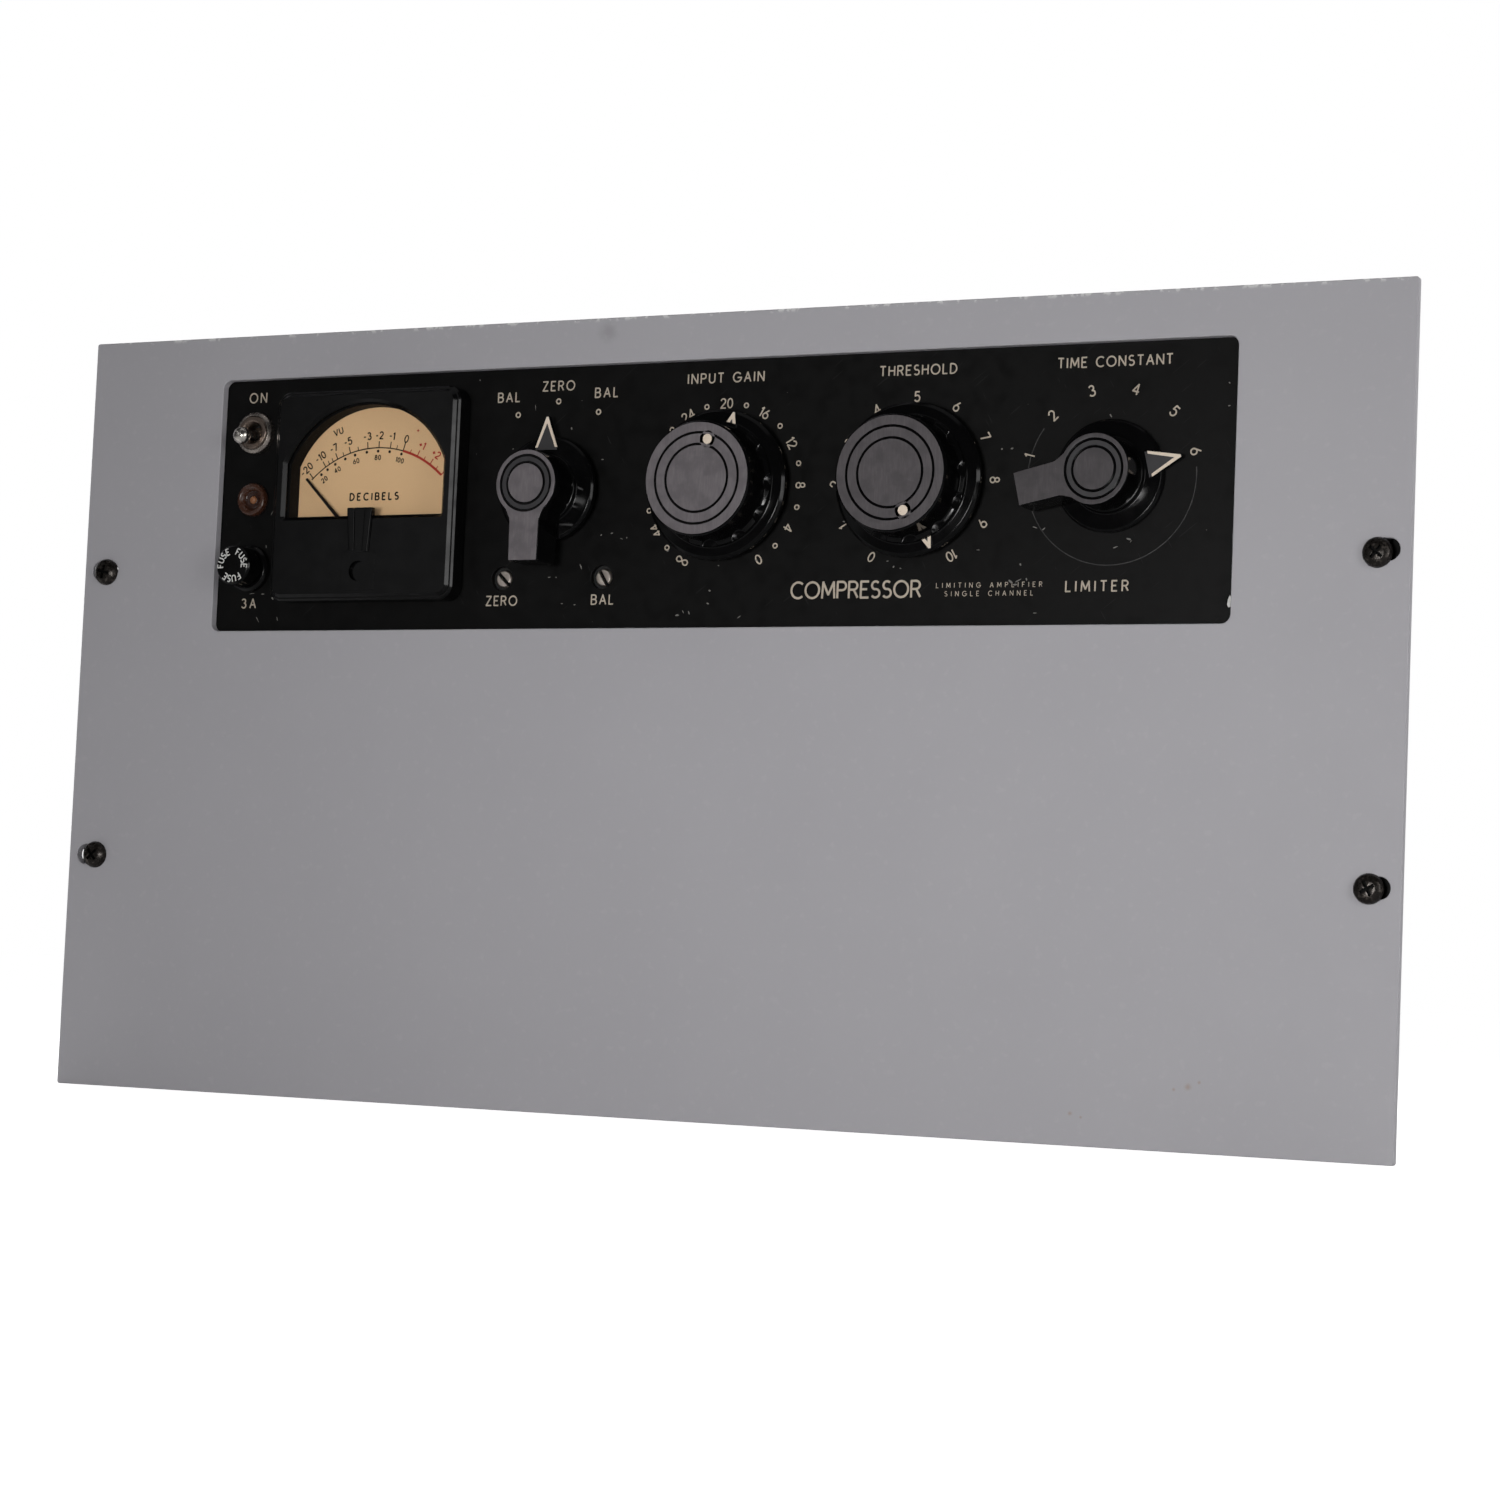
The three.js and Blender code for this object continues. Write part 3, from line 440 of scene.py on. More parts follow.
def plain(name, *tones, clouds=0, veil=None, rough=None, bump=None, stretch=None, **sockets):
    """A finish in one tone, or two clouded together, with veiled patches, roughness and relief."""
    f = Finish(name, **sockets)
    tone = f.mottle(*tones, clouds, stretch) if clouds else tones[0]
    if veil:
        size, detail, start, end, share, shade = veil
        tone = f.mix(f.step(f.noise(size, detail), start, end, 0, share), tone, shade)
    f.colour(tone)
    if rough:
        size, detail, smoothest, roughest = rough
        f.roughen(f.noise(size, detail, stretch), smoothest, roughest)
    if bump:
        size, detail, depth = bump
        f.bump(f.noise(size, detail, stretch), depth)
    return f.material


def ink(name, colour):
    faint, full = ([c * k for c in colour] for k in (0.85, 1.15))
    return plain(name, faint, full, clouds=1.2, bump=(0.2, 2, 0.002), roughness=0.6, shine=0.08)


def metal(name, dark, light, smooth, rough, grain=1.2, stretch=None, depth=0.006):
    return plain(name, dark, light, clouds=grain * 4, rough=(grain, 5, smooth, rough),
                 bump=(grain * 0.5, 3, depth), stretch=stretch, metallic=1.0)


def moulded(name, dark, light, smooth=0.35, rough=0.55, size=4, depth=0.012):
    return plain(name, dark, light, clouds=size, rough=(size * 0.3, 5, smooth, rough),
                 bump=(size * 0.15, 3, depth))


def amber(name, dark, light):
    return plain(name, dark, light, clouds=2.2, rough=(0.8, 4, 0.2, 0.34), bump=(0.5, 3, 0.015),
                 Coat_Weight=0.3, Coat_Roughness=0.15)


def clear_glass(name, tint, alpha):
    return plain(name, tint, [c * 0.95 for c in tint], clouds=20, roughness=0.04, Alpha=alpha,
                 shine=0.6)


def grey_enamel():
    f = Finish("grey_enamel", shine=0.25)
    base = f.mottle((0.40, 0.392, 0.418), (0.43, 0.422, 0.447), 60)
    tone = f.mix(f.step(f.noise(3, 6), 0.56, 0.72, 0, 0.35), base, (0.47, 0.46, 0.48))
    height = f.add("SeparateXYZ", {0: f.place}).outputs["Z"]
    top = high("rack_panel").z * MM
    rim = f.step(height, top - 0.0016, top - 0.0001)
    tone = f.mix(f.times(rim, f.step(f.noise(2.4, 5), 0.54, 0.6)), tone, (0.68, 0.68, 0.68))
    smudge, rust = (0.2, 0.19, 0.2), (0.33, 0.22, 0.14)
    for x, z, radius, share, shade in (
        (-33, 261, 5, 0.35, smudge), (140, 10, 1.0, 0.5, rust), (143.5, 9, 0.7, 0.5, rust),
        (177.5, 20, 1.6, 0.5, rust), (181, 21.5, 0.8, 0.5, rust), (173, 19, 0.8, 0.5, rust),
    ):
        tone = f.mix(f.times(f.spot(x, z, radius), share), tone, shade)
    f.colour(tone)
    f.roughen(f.noise(8, 5), 0.5, 0.62)
    f.bump(f.noise(0.9, 2), 0.008)
    return f.material


def black_enamel():
    f = Finish("black_enamel", shine=0.14)
    tone = f.mottle((0.0022, 0.0022, 0.0022), (0.0036, 0.0035, 0.0035), 14)
    for mask, share, shade in (
        (f.specks(9, 0.42, 0.10), f.noise(1.4), (0.36, 0.34, 0.31)),
        (f.specks(4, 0.16, 0.12), 0.5, (0.3, 0.28, 0.26)),
        (f.scratches(9, 0.5, 0.245, 0.5), 0.05, (0.3, 0.3, 0.3)),
        (f.scratches(14, 0.6, 0.25, -0.9), 0.03, (0.3, 0.3, 0.3)),
    ):
        tone = f.mix(f.times(mask, share), tone, shade)
    f.colour(tone)
    f.roughen(f.noise(5, 6), 0.38, 0.6)
    f.bump(f.noise(0.7, 2), 0.004)
    return f.material


def gloss_moulding(name, smooth, rough, shine):
    """Black phenolic: nearly clean gloss with faint handling marks and a little dust."""
    f = Finish(name, shine=shine)
    clean = f.mottle((0.0015, 0.0015, 0.0016), (0.0028, 0.0028, 0.0031), 6)
    f.colour(f.mix(f.times(f.specks(3.1, 0.09, 0.16), 0.25), clean, (0.2, 0.19, 0.18)))
    f.roughen(f.noise(7, 2), smooth, rough)
    return f.material


def worn_face(name, brightness):
    """Faced moulding, dulled grey by handling, with fine streaks; its tone is scaled by brightness."""
    f = Finish(name, shine=0.3)
    streaks = f.noise(0.5, 3, (1, 1, 0.12))
    dull, fresh, patch = ([c * brightness for c in shade] for shade in (
        (0.082, 0.0745, 0.079), (0.10, 0.091, 0.0965), (0.070, 0.064, 0.068),
    ))
    base = f.mix(f.step(streaks, 0.35, 0.7), dull, fresh)
    patches = f.mix(f.step(f.noise(5, 4), 0.4, 0.7), base, patch)
    f.colour(f.mix(f.times(f.specks(2.6, 0.1, 0.1), 0.35), patches, (0.3, 0.28, 0.26)))
    f.roughen(streaks, 0.36, 0.5)
    f.bump(f.noise(0.35, 3, (1, 1, 0.2)), 0.006)
    return f.material


def laminations():
    """Stacked core plates: fine lines across the depth of the stack, under varnish."""
    f = Finish("laminations", metallic=0.6)
    lines = f.add("TexWave", {"Vector": f.place, "Scale": 1 / 0.013, "Distortion": 0.4, "Detail": 2.0},
                  bands_direction="Y").outputs["Fac"]
    f.colour(f.mix(lines, (0.035, 0.034, 0.035), (0.10, 0.095, 0.09)))
    f.roughen(f.noise(2, 5), 0.35, 0.6)
    f.bump(lines, 0.12)
    return f.material


def tray_metal():
    """Plated steel; the ears that lie behind the ends of the panel are painted black as painted shade, so
    that the rack slots look dark.
    """
    f = Finish("tray_steel", metallic=1.0)
    steel_tone = f.mottle((0.43, 0.43, 0.405), (0.48, 0.48, 0.45), 24)
    across = f.math("ABSOLUTE", f.add("SeparateXYZ", {0: f.place}).outputs["X"])
    tray_side = 212
    # Painted shade: the ears behind the panel's ends are turned near-black.
    slot_shade_ear = f.step(across, (tray_side + 0.3) * MM, (tray_side + 0.8) * MM)
    f.colour(f.mix(slot_shade_ear, steel_tone, (0.006, 0.006, 0.006)))
    f.roughen(f.noise(6, 5), 0.36, 0.43)
    f.bump(f.noise(3, 3), 0.006)
    return f.material


grey = grey_enamel()
black = black_enamel()
gloss = gloss_moulding("black_moulding", 0.14, 0.22, 0.24)
knob_black = gloss_moulding("knob_moulding", 0.1, 0.17, 0.17)
# Each knob's face has its own brightness factor; the faces of the two knobs at the left are the brightest.
face_grey = worn_face("worn_face", 1.7)
face_middle_tone = worn_face("middle_tone_knob_face", 1.0)
face_dim_tone = worn_face("dim_tone_knob_face", 0.76)
face_dark = plain("dark_face", (0.034, 0.033, 0.035), (0.046, 0.044, 0.047), clouds=3,
                  rough=(0.8, 4, 0.34, 0.5), bump=(0.4, 3, 0.006), shine=0.4)
cream = plain("cream_paint", (0.70, 0.58, 0.46), (0.84, 0.74, 0.62), clouds=2.5,
              veil=(0.7, 5, 0.6, 0.75, 0.6, (0.3, 0.24, 0.18)), bump=(0.3, 3, 0.01),
              roughness=0.55, shine=0.3)
legend = plain("legend_paint", (0.42, 0.36, 0.29), (0.56, 0.49, 0.40), clouds=5,
               veil=(0.8, 6, 0.6, 0.76, 0.6, (0.12, 0.10, 0.085)), bump=(0.3, 3, 0.008),
               roughness=0.6, shine=0.3)
white = plain("white_paint", (0.66, 0.66, 0.64), veil=(0.5, 5, 0.58, 0.72, 0.6, (0.3, 0.3, 0.3)))
card = plain("dial_card", (0.845, 0.555, 0.30), (0.895, 0.595, 0.325), clouds=16,
             veil=(0.5, 6, 0.45, 0.8, 0.3, (0.74, 0.48, 0.255)), bump=(0.25, 3, 0.004),
             roughness=0.75, shine=0.2)
flaked = plain("flaked_enamel", (0.07, 0.068, 0.064), (0.27, 0.26, 0.24), clouds=0.9, roughness=0.6)
scribed = plain("scribed_line", (0.006, 0.006, 0.006), veil=(2.5, 4, 0.4, 0.65, 1, (0.026, 0.025, 0.024)))
# Black-oxide steel, worn to bronze and bare metal in scattered patches.
oxide = plain("black_oxide", (0.011, 0.0095, 0.008), (0.027, 0.0225, 0.02), clouds=2.2,
              veil=(1.6, 3, 0.54, 0.72, 1, (0.095, 0.082, 0.073)), rough=(0.8, 5, 0.24, 0.36),
              bump=(0.7, 2, 0.006), metallic=0.7)
glass = plain("valve_glass", (0.93, 0.95, 0.95), (0.98, 0.98, 0.98), clouds=12,
              rough=(6, 3, 0.02, 0.06), Transmission_Weight=1.0, IOR=1.3)
black_ink = ink("black_ink", (0.020, 0.015, 0.011))
red_ink = ink("red_ink", (0.50, 0.05, 0.035))
needle_dark = ink("needle_enamel", (0.014, 0.009, 0.007))
matt_black = ink("matt_black", (0.003, 0.003, 0.003))
nickel = metal("nickel", (0.78, 0.73, 0.67), (0.90, 0.86, 0.80), 0.16, 0.3)
dull_nickel = metal("dull_nickel", (0.20, 0.155, 0.13), (0.33, 0.26, 0.22), 0.24, 0.4)
ring_nickel = metal("ring_nickel", (0.34, 0.30, 0.27), (0.50, 0.45, 0.41), 0.2, 0.34)
slot_metal = metal("slotted_brass", (0.74, 0.64, 0.57), (0.88, 0.80, 0.73), 0.3, 0.45, 0.5, depth=0.015)
cut_edge = metal("cut_edge", (0.50, 0.50, 0.50), (0.72, 0.72, 0.72), 0.3, 0.45, 1)
steel = metal("chassis_steel", (0.40, 0.40, 0.375), (0.50, 0.50, 0.47), 0.32, 0.48, 6)
can_metal = metal("can_aluminium", (0.60, 0.60, 0.60), (0.70, 0.70, 0.70), 0.22, 0.38, 1.5, (1, 0.15, 1))
pot_metal = metal("bare_aluminium", (0.50, 0.50, 0.50), (0.62, 0.62, 0.61), 0.28, 0.45, 2)
plate_metal = metal("electrode_metal", (0.10, 0.10, 0.105), (0.17, 0.17, 0.175), 0.4, 0.6, 1.5)
getter = metal("getter", (0.30, 0.29, 0.28), (0.62, 0.61, 0.60), 0.08, 0.2, 5)
# Amber for the jewel: its ring, a darker tone that is painted shade in the recessed ring, and a bright tone
# that is a painted highlight on the centre.
lens_amber = amber("amber_lens", (0.038, 0.014, 0.008), (0.064, 0.023, 0.012))
lens_painted_shade = amber("amber_lens_painted_shade", (0.022, 0.007, 0.004), (0.036, 0.011, 0.006))
lens_painted_highlight = amber("amber_lens_painted_highlight", (0.25, 0.10, 0.045), (0.34, 0.15, 0.07))
pane = clear_glass("clear_glass", (0.02, 0.021, 0.021), 0.02)
fuse_glass = clear_glass("fuse_glass", (0.25, 0.27, 0.27), 0.3)
enamel = moulded("transformer_enamel", (0.020, 0.022, 0.026), (0.030, 0.032, 0.037), 0.28, 0.45, 8, 0.02)
brown = moulded("phenolic", (0.085, 0.036, 0.018), (0.13, 0.06, 0.032), 0.3, 0.5, 3)
board = moulded("circuit_board", (0.20, 0.10, 0.042), (0.27, 0.14, 0.065), 0.45, 0.65, 5)
mica = moulded("mica", (0.50, 0.45, 0.36), (0.62, 0.58, 0.50), 0.3, 0.5, 2)
# Near-black painted shade: it closes the toggle's bore and covers the adjuster controls seen through the
# plate holes.
shade_black = moulded("painted_shade_recess", (0.004, 0.004, 0.004), (0.008, 0.008, 0.008), 0.6, 0.8, 3)
tray_steel = tray_metal()
core_plates = laminations()


def sunk(place, radius, y0, y1, proud):
    """Matt black painted into a slot or recess about a place as painted shade, and the proud finish
    elsewhere.
    """
    def finish(centre, normal):
        inside = y0 < centre.y < y1 and math.dist((centre.x, centre.z), place) < radius
        return matt_black if inside else proud
    return finish


# ---- lettering ----

# Strokes of each letter, one unit high: its width, then its lines.
GLYPHS = {
    " ": (0.35, []),
    "-": (0.34, [[(0, 0.45), (0.34, 0.45)]]),
    "+": (0.44, [[(0, 0.45), (0.44, 0.45)], [(0.22, 0.23), (0.22, 0.67)]]),
    "o": (0.56, [arc(0.28, 0.5, 0.28, 0.28, 0, 360)]),
    "A": (0.72, [[(0, 0), (0.36, 1), (0.72, 0)], [(0.13, 0.34), (0.59, 0.34)]]),
    "B": (0.60, [
        [(0.34, 0.53), (0, 0.53), (0, 1), (0.32, 1), *arc(0.32, 0.765, 0.235, 0.235, 90, -90)],
        [(0, 0.53), (0, 0), (0.34, 0), *arc(0.34, 0.265, 0.265, 0.265, -90, 90)],
    ]),
    "C": (0.76, [arc(0.46, 0.5, 0.46, 0.5, 48, 312, 16)]),
    "D": (0.68, [[(0, 0), (0, 1), (0.2, 1), *arc(0.2, 0.5, 0.48, 0.5, 90, -90), (0, 0)]]),
    "E": (0.50, [[(0.5, 1), (0, 1), (0, 0), (0.5, 0)], [(0, 0.52), (0.42, 0.52)]]),
    "F": (0.50, [[(0.5, 1), (0, 1), (0, 0)], [(0, 0.52), (0.42, 0.52)]]),
    "G": (0.90, [[*arc(0.47, 0.5, 0.47, 0.5, 45, 352, 18), (0.93, 0.46), (0.52, 0.46)]]),
    "H": (0.62, [[(0, 0), (0, 1)], [(0.62, 0), (0.62, 1)], [(0, 0.52), (0.62, 0.52)]]),
    "I": (0.04, [[(0.02, 0), (0.02, 1)]]),
    "L": (0.46, [[(0, 1), (0, 0), (0.46, 0)]]),
    "M": (0.84, [[(0, 0), (0.06, 1), (0.42, 0.2), (0.78, 1), (0.84, 0)]]),
    "N": (0.68, [[(0, 0), (0, 1), (0.68, 0), (0.68, 1)]]),
    "O": (0.94, [arc(0.47, 0.5, 0.47, 0.5, 0, 360, 20)]),
    "P": (0.57, [[(0, 0), (0, 1), (0.31, 1), *arc(0.31, 0.74, 0.26, 0.26, 90, -90), (0, 0.48)]]),
    "R": (0.60, [
        [(0, 0), (0, 1), (0.31, 1), *arc(0.31, 0.75, 0.25, 0.25, 90, -90), (0, 0.5)],
        [(0.32, 0.5), (0.6, 0)],
    ]),
    "S": (0.56, [[
        *arc(0.28, 0.755, 0.245, 0.245, 40, 255), *arc(0.28, 0.265, 0.275, 0.265, 75, -145),
    ]]),
    "T": (0.62, [[(0, 1), (0.62, 1)], [(0.31, 1), (0.31, 0)]]),
    "U": (0.64, [[(0, 1), (0, 0.32), *arc(0.32, 0.32, 0.32, 0.32, 180, 360), (0.64, 1)]]),
    "V": (0.70, [[(0, 1), (0.35, 0), (0.7, 1)]]),
    "Z": (0.60, [[(0, 1), (0.58, 1), (0, 0), (0.6, 0)]]),
    "0": (0.56, [arc(0.28, 0.5, 0.28, 0.5, 0, 360, 16)]),
    "1": (0.18, [[(0, 0.8), (0.17, 1), (0.17, 0)]]),
    "2": (0.56, [[*arc(0.28, 0.73, 0.26, 0.27, 165, -38), (0, 0), (0.56, 0)]]),
    "3": (0.56, [[
        *arc(0.27, 0.765, 0.23, 0.235, 150, -80), *arc(0.28, 0.27, 0.28, 0.27, 80, -150),
    ]]),
    "4": (0.62, [[(0.46, 0), (0.46, 1), (0, 0.28), (0.62, 0.28)]]),
    "5": (0.56, [[(0.5, 1), (0.1, 1), (0.05, 0.56), *arc(0.27, 0.32, 0.29, 0.32, 125, -145)]]),
    "6": (0.58, [[(0.44, 1), (0.05, 0.44)], arc(0.29, 0.3, 0.29, 0.3, 150, 510, 14)]),
    "7": (0.54, [[(0, 1), (0.54, 1), (0.16, 0)]]),
    "8": (0.56, [arc(0.28, 0.76, 0.22, 0.24, -90, 270), arc(0.28, 0.265, 0.28, 0.265, 90, 450)]),
    "9": (0.58, [[(0.14, 0), (0.53, 0.56)], arc(0.29, 0.7, 0.29, 0.3, -30, 330, 14)]),
    "infinity": (1.1, [[
        (
            0.55 + 0.55 * math.cos(t) / (1 + math.sin(t) ** 2),
            0.5 + 0.62 * math.sin(t) * math.cos(t) / (1 + math.sin(t) ** 2),
        )
        for t in [2 * math.pi * i / 28 for i in range(29)]
    ]]),
}


def unbroken(line):
    """The line cut at its sharp corners, each stretch run on a little so that the corners stay filled."""
    stretches, start = [], 0
    for i in range(1, len(line) - 1):
        before = Vector(line[i]) - Vector(line[i - 1])
        after = Vector(line[i + 1]) - Vector(line[i])
        if before.angle(after, 0.0) > math.radians(50):
            stretches.append(line[start:i + 1])
            start = i
    stretches.append(line[start:])
    if len(stretches) == 1:
        return stretches
    for stretch in stretches:
        for end, inner in ((0, 1), (-1, -2)):
            run = Vector(stretch[end]) - Vector(stretch[inner])
            stretch[end] = tuple(Vector(stretch[end]) + run.normalized() * 0.03)
    return stretches


def lettering(text, place, height, stroke=0.14, y=plate_face, width=None, tilt=0.0, gap=0.34, squeeze=0.12):
    """Words in single round strokes, centred on a place, tilted clockwise by tilt degrees."""
    names = [text] if text in GLYPHS else list(text)
    total = sum(GLYPHS[n][0] for n in names)
    spaces = len(names) - 1
    if width:
        gap = (width / height - stroke - total) / max(1, spaces)
    left = -(total + gap * spaces) / 2
    x, z = place
    cos, sin = math.cos(math.radians(tilt)), math.sin(math.radians(tilt))
    paths = []
    for name in names:
        glyph_width, lines = GLYPHS[name]
        for line in (stretch for whole in lines for stretch in unbroken(list(whole))):
            points = [((left + u) * height, (v - 0.5) * height) for u, v in line]
            paths.append([(x + u * cos + v * sin, z - u * sin + v * cos) for u, v in points])
        left += glyph_width + gap
    return wire(paths, stroke * height / 2, squeeze, y)


def on_scale(text, place, radius, degrees, height, stroke=0.15, **more):
    """A mark on a round scale, its top outwards."""
    return lettering(text, around(place, radius, degrees), height, stroke, tilt=degrees, **more)


# ---- front panel and rack screws ----


def front_panel():
    a, b, _ = extent("rack_panel")
    window_middle, slot_x, slot_heights = (0, 205.875), 232.56, (81.8, 183.4)
    window = rounded(window_middle, 185.9, 44.525, 3, 8)
    slots = [rounded((x, z), 5.4, 3.45, 3.44, 10) for x in (-slot_x, slot_x) for z in slot_heights]
    sheet = prism(inset(a, b, 0, 0.8), a.y, b.y, 0.35, holes=[window, *slots])

    def paint_or_edge(centre, normal):
        on_top_edge = centre.z > b.z - 0.6 and abs(normal.z) > 0.9 and centre.y > 0.8
        return cut_edge if on_top_edge else grey

    piece("rack_panel_sheet", [(sheet, paint_or_edge)], "rack_panel")


def cross_screw(corner, turn):
    """Pan head with a cross recess; its threaded shank stands in the rack slot."""
    node = f"rack_screw_{corner}"
    a, b, place = extent(node)
    radius, shank = (b.x - a.x) / 2, 2.3
    head = turned([
        (0, a.y), (radius * 0.55, a.y + 0.22, 2), (radius * 0.9, a.y + 1.05, 1.5),
        (radius, a.y + 2.3, 0.6), (radius, -0.1, 0.15), (shank, -0.1), (shank, b.y - 1, 0.5),
        (1.4, b.y), (0, b.y),
    ], place, 64)
    arm = mirrored(place, [(2.45, -0.5), (2.45, 0.5)])
    arms = [spun(prism(arm, a.y - 1, a.y + 1.7, 0.05), place, turn + more) for more in (0, 90)]
    pit = turned([(0, a.y - 1), (0.85, a.y - 1), (0.7, a.y + 1.4), (0, a.y + 2)], place, 16)
    body = softened(cut(head, *arms, pit), 0.06)
    # Painted shade: the cross recess is matt black.
    finish = sunk(place, 2.6, a.y + 0.42, a.y + 2.1, oxide)
    piece(f"panel_screw_{corner}", [(body, finish)], node)


front_panel()
for corner, turn in (("upper_left", 12), ("upper_right", 40), ("lower_left", 48), ("lower_right", 62)):
    cross_screw(corner, turn)

# ---- control plate and its legends ----

selector, gain, threshold, timing = (
    axis(f"{control}_shaft") for control in ("meter_selector", "input_gain", "threshold", "time_constant")
)
zero_adjust, balance_adjust = axis("zero_adjuster_shaft"), axis("balance_adjuster_shaft")
toggle, lamp, fuse = axis("toggle_nut"), axis("pilot_lamp_lens"), axis("fuse_cap")
meter_low, meter_high, (meter_x, _) = extent("meter_case")
meter_centre = (meter_x, 209.5)


def control_plate():
    a, b, _ = extent("control_plate")
    bores = [(toggle, 6.3), (lamp, 4.9), (fuse, 6.4), (meter_centre, 35)]
    bores += [(place, 5.1) for place in (selector, gain, threshold, timing)]
    bores += [(place, 4.0) for place in (zero_adjust, balance_adjust)]
    sheet = prism(inset(a, b, 0, 1), a.y, b.y, 0.2, holes=[circle(*bore) for bore in bores])
    piece("control_plate_sheet", [(sheet, black)], "control_plate")


WORDS = [  # text, x, z, height, width
    ("ON", toggle[0] - 0.5, 244.4, 3.3, 7.4), ("3A", fuse[0] - 0.1, 171.4, 3.1, 6.2),
    ("BAL", -71.9, 240.95, 3.1, 8.7), ("ZERO", -52.8, 244.2, 3.1, 12.5), ("BAL", -34.45, 241.3, 3.1, 8.9),
    ("ZERO", zero_adjust[0] + 0.2, 171.3, 3.1, 12.2), ("BAL", balance_adjust[0] + 0.6, 171.35, 3.1, 8.6),
    ("INPUT GAIN", 9.8, 244.6, 3.1, 28.2), ("THRESHOLD", threshold[0], 244.45, 3.1, 27.0),
    ("TIME CONSTANT", timing[0], 244.6, 3.1, 38.2),
]
TITLES = [  # text, x, z, height, width, stroke
    ("COMPRESSOR", 59.4, 173.6, 5.2, 46, 0.14), ("LIMITING AMPLIFIER", 105.4, 174.6, 1.5, 36, 0.13),
    ("SINGLE CHANNEL", 105.4, 171.9, 1.5, 30, 0.13), ("LIMITER", 141.5, 173.8, 3.2, 21, 0.16),
]


def control_legends():
    """Cream marks printed on the black plate, standing a hair proud of it."""
    marks = [
        lettering(text, (x, z), height, stroke, width=width)
        for text, x, z, height, width, stroke in [(*word, 0.155) for word in WORDS] + TITLES
    ]
    marks += [on_scale("o", selector, 30.8, degrees, 2.9, 0.17) for degrees in (-30, 0, 30)]
    marks += [
        on_scale(str(28 - 4 * i), gain, 27.9 if i else 26.9, 30 * i - 60, 3.1, gap=0.25) for i in range(8)
    ]
    marks.append(on_scale("44", gain, 27.9, -120, 2.6, 0.17, gap=0.25))
    marks.append(on_scale("infinity", gain, 27.9, -150, 4.0, 0.12))
    marks += [on_scale("o", gain, 27.9, 30 * i - 135, 2.7, 0.17) for i in range(10)]
    marks += [
        on_scale(str(i), threshold, 26.7 if i == 3 else 27.7, 30 * i - 150, 3.1, gap=0.25) for i in range(11)
    ]
    marks += [on_scale(str(i + 1), timing, 28.3, 30 * i - 75, 3.3) for i in range(6)]
    piece("control_legends", [(marks, legend)])


FLAKES = [  # x, z, half length, half width, lean
    (-61.4, 236.9, 0.9, 0.14, 80), (-69.4, 223.2, 0.25, 0.2, 0), (-47.2, 229.5, 0.4, 0.3, 20),
    (-34.8, 218.6, 0.35, 0.3, 0), (-34.1, 193.1, 0.3, 0.22, 10), (-30.0, 193.6, 0.5, 0.2, -35),
    (-26.3, 191.7, 0.4, 0.2, 30), (-24.4, 192.0, 0.25, 0.2, 0), (-41.2, 182.4, 0.9, 0.24, 60),
    (-53.1, 179.1, 0.45, 0.2, 0), (-50.5, 179.0, 0.25, 0.16, 0), (-47.8, 170.1, 0.35, 0.22, 0),
    (-43.0, 169.7, 0.35, 0.2, 15), (-4.4, 165.8, 0.8, 0.26, -20), (-2.2, 166.9, 0.5, 0.16, 60),
    (-0.1, 166.7, 0.7, 0.18, 75), (6.7, 169.6, 0.5, 0.24, 0), (18.3, 165.1, 0.6, 0.2, -30),
    (7.1, 173.9, 0.5, 0.22, 25), (10.1, 182.1, 0.25, 0.2, 0), (-8.8, 187.3, 0.4, 0.22, 0),
    (23.6, 183.7, 0.6, 0.2, 0), (144.2, 227.3, 0.5, 0.28, 50), (144.8, 225.6, 0.5, 0.26, 80),
    (182.3, 236.3, 0.3, 0.2, 0), (182.5, 229.2, 0.3, 0.26, 0), (111.5, 218.0, 0.5, 0.22, 0),
    (120.3, 192.6, 0.8, 0.18, 10), (123.2, 192.1, 0.5, 0.24, -30), (151.3, 188.4, 1.0, 0.22, 15),
    (152.2, 187.7, 0.4, 0.14, -50), (147.1, 185.9, 0.7, 0.2, -10), (115.8, 180.9, 0.35, 0.3, 0),
    (121.3, 165.5, 0.5, 0.2, 0), (61.3, 189.7, 0.3, 0.24, 0), (54.4, 195.8, 0.45, 0.18, 0),
    (70.3, 182.7, 0.3, 0.22, 0), (72.4, 180.8, 0.45, 0.2, -40), (74.9, 180.3, 0.3, 0.18, 0),
    (101.3, 185.8, 0.5, 0.18, 10), (112.6, 175.6, 1.1, 0.26, 35), (115.4, 175.9, 1.0, 0.24, -30),
    (114.2, 174.6, 0.7, 0.28, 10), (118.0, 176.2, 0.5, 0.2, 60), (-171.7, 174.9, 0.9, 0.14, -8),
    (-167.4, 174.7, 0.7, 0.16, 5), (-163.1, 173.0, 0.5, 0.36, 20), (-168.9, 165.6, 0.9, 0.16, 60),
    (-160.8, 166.0, 0.9, 0.13, 75), (-166.9, 191.4, 0.5, 0.2, 70), (-165.2, 203.3, 0.8, 0.14, -55),
    (-83.6, 247.3, 0.25, 0.2, 0), (-155.7, 161.4, 0.5, 0.2, 0), (-161.2, 196.5, 0.3, 0.2, 0),
]


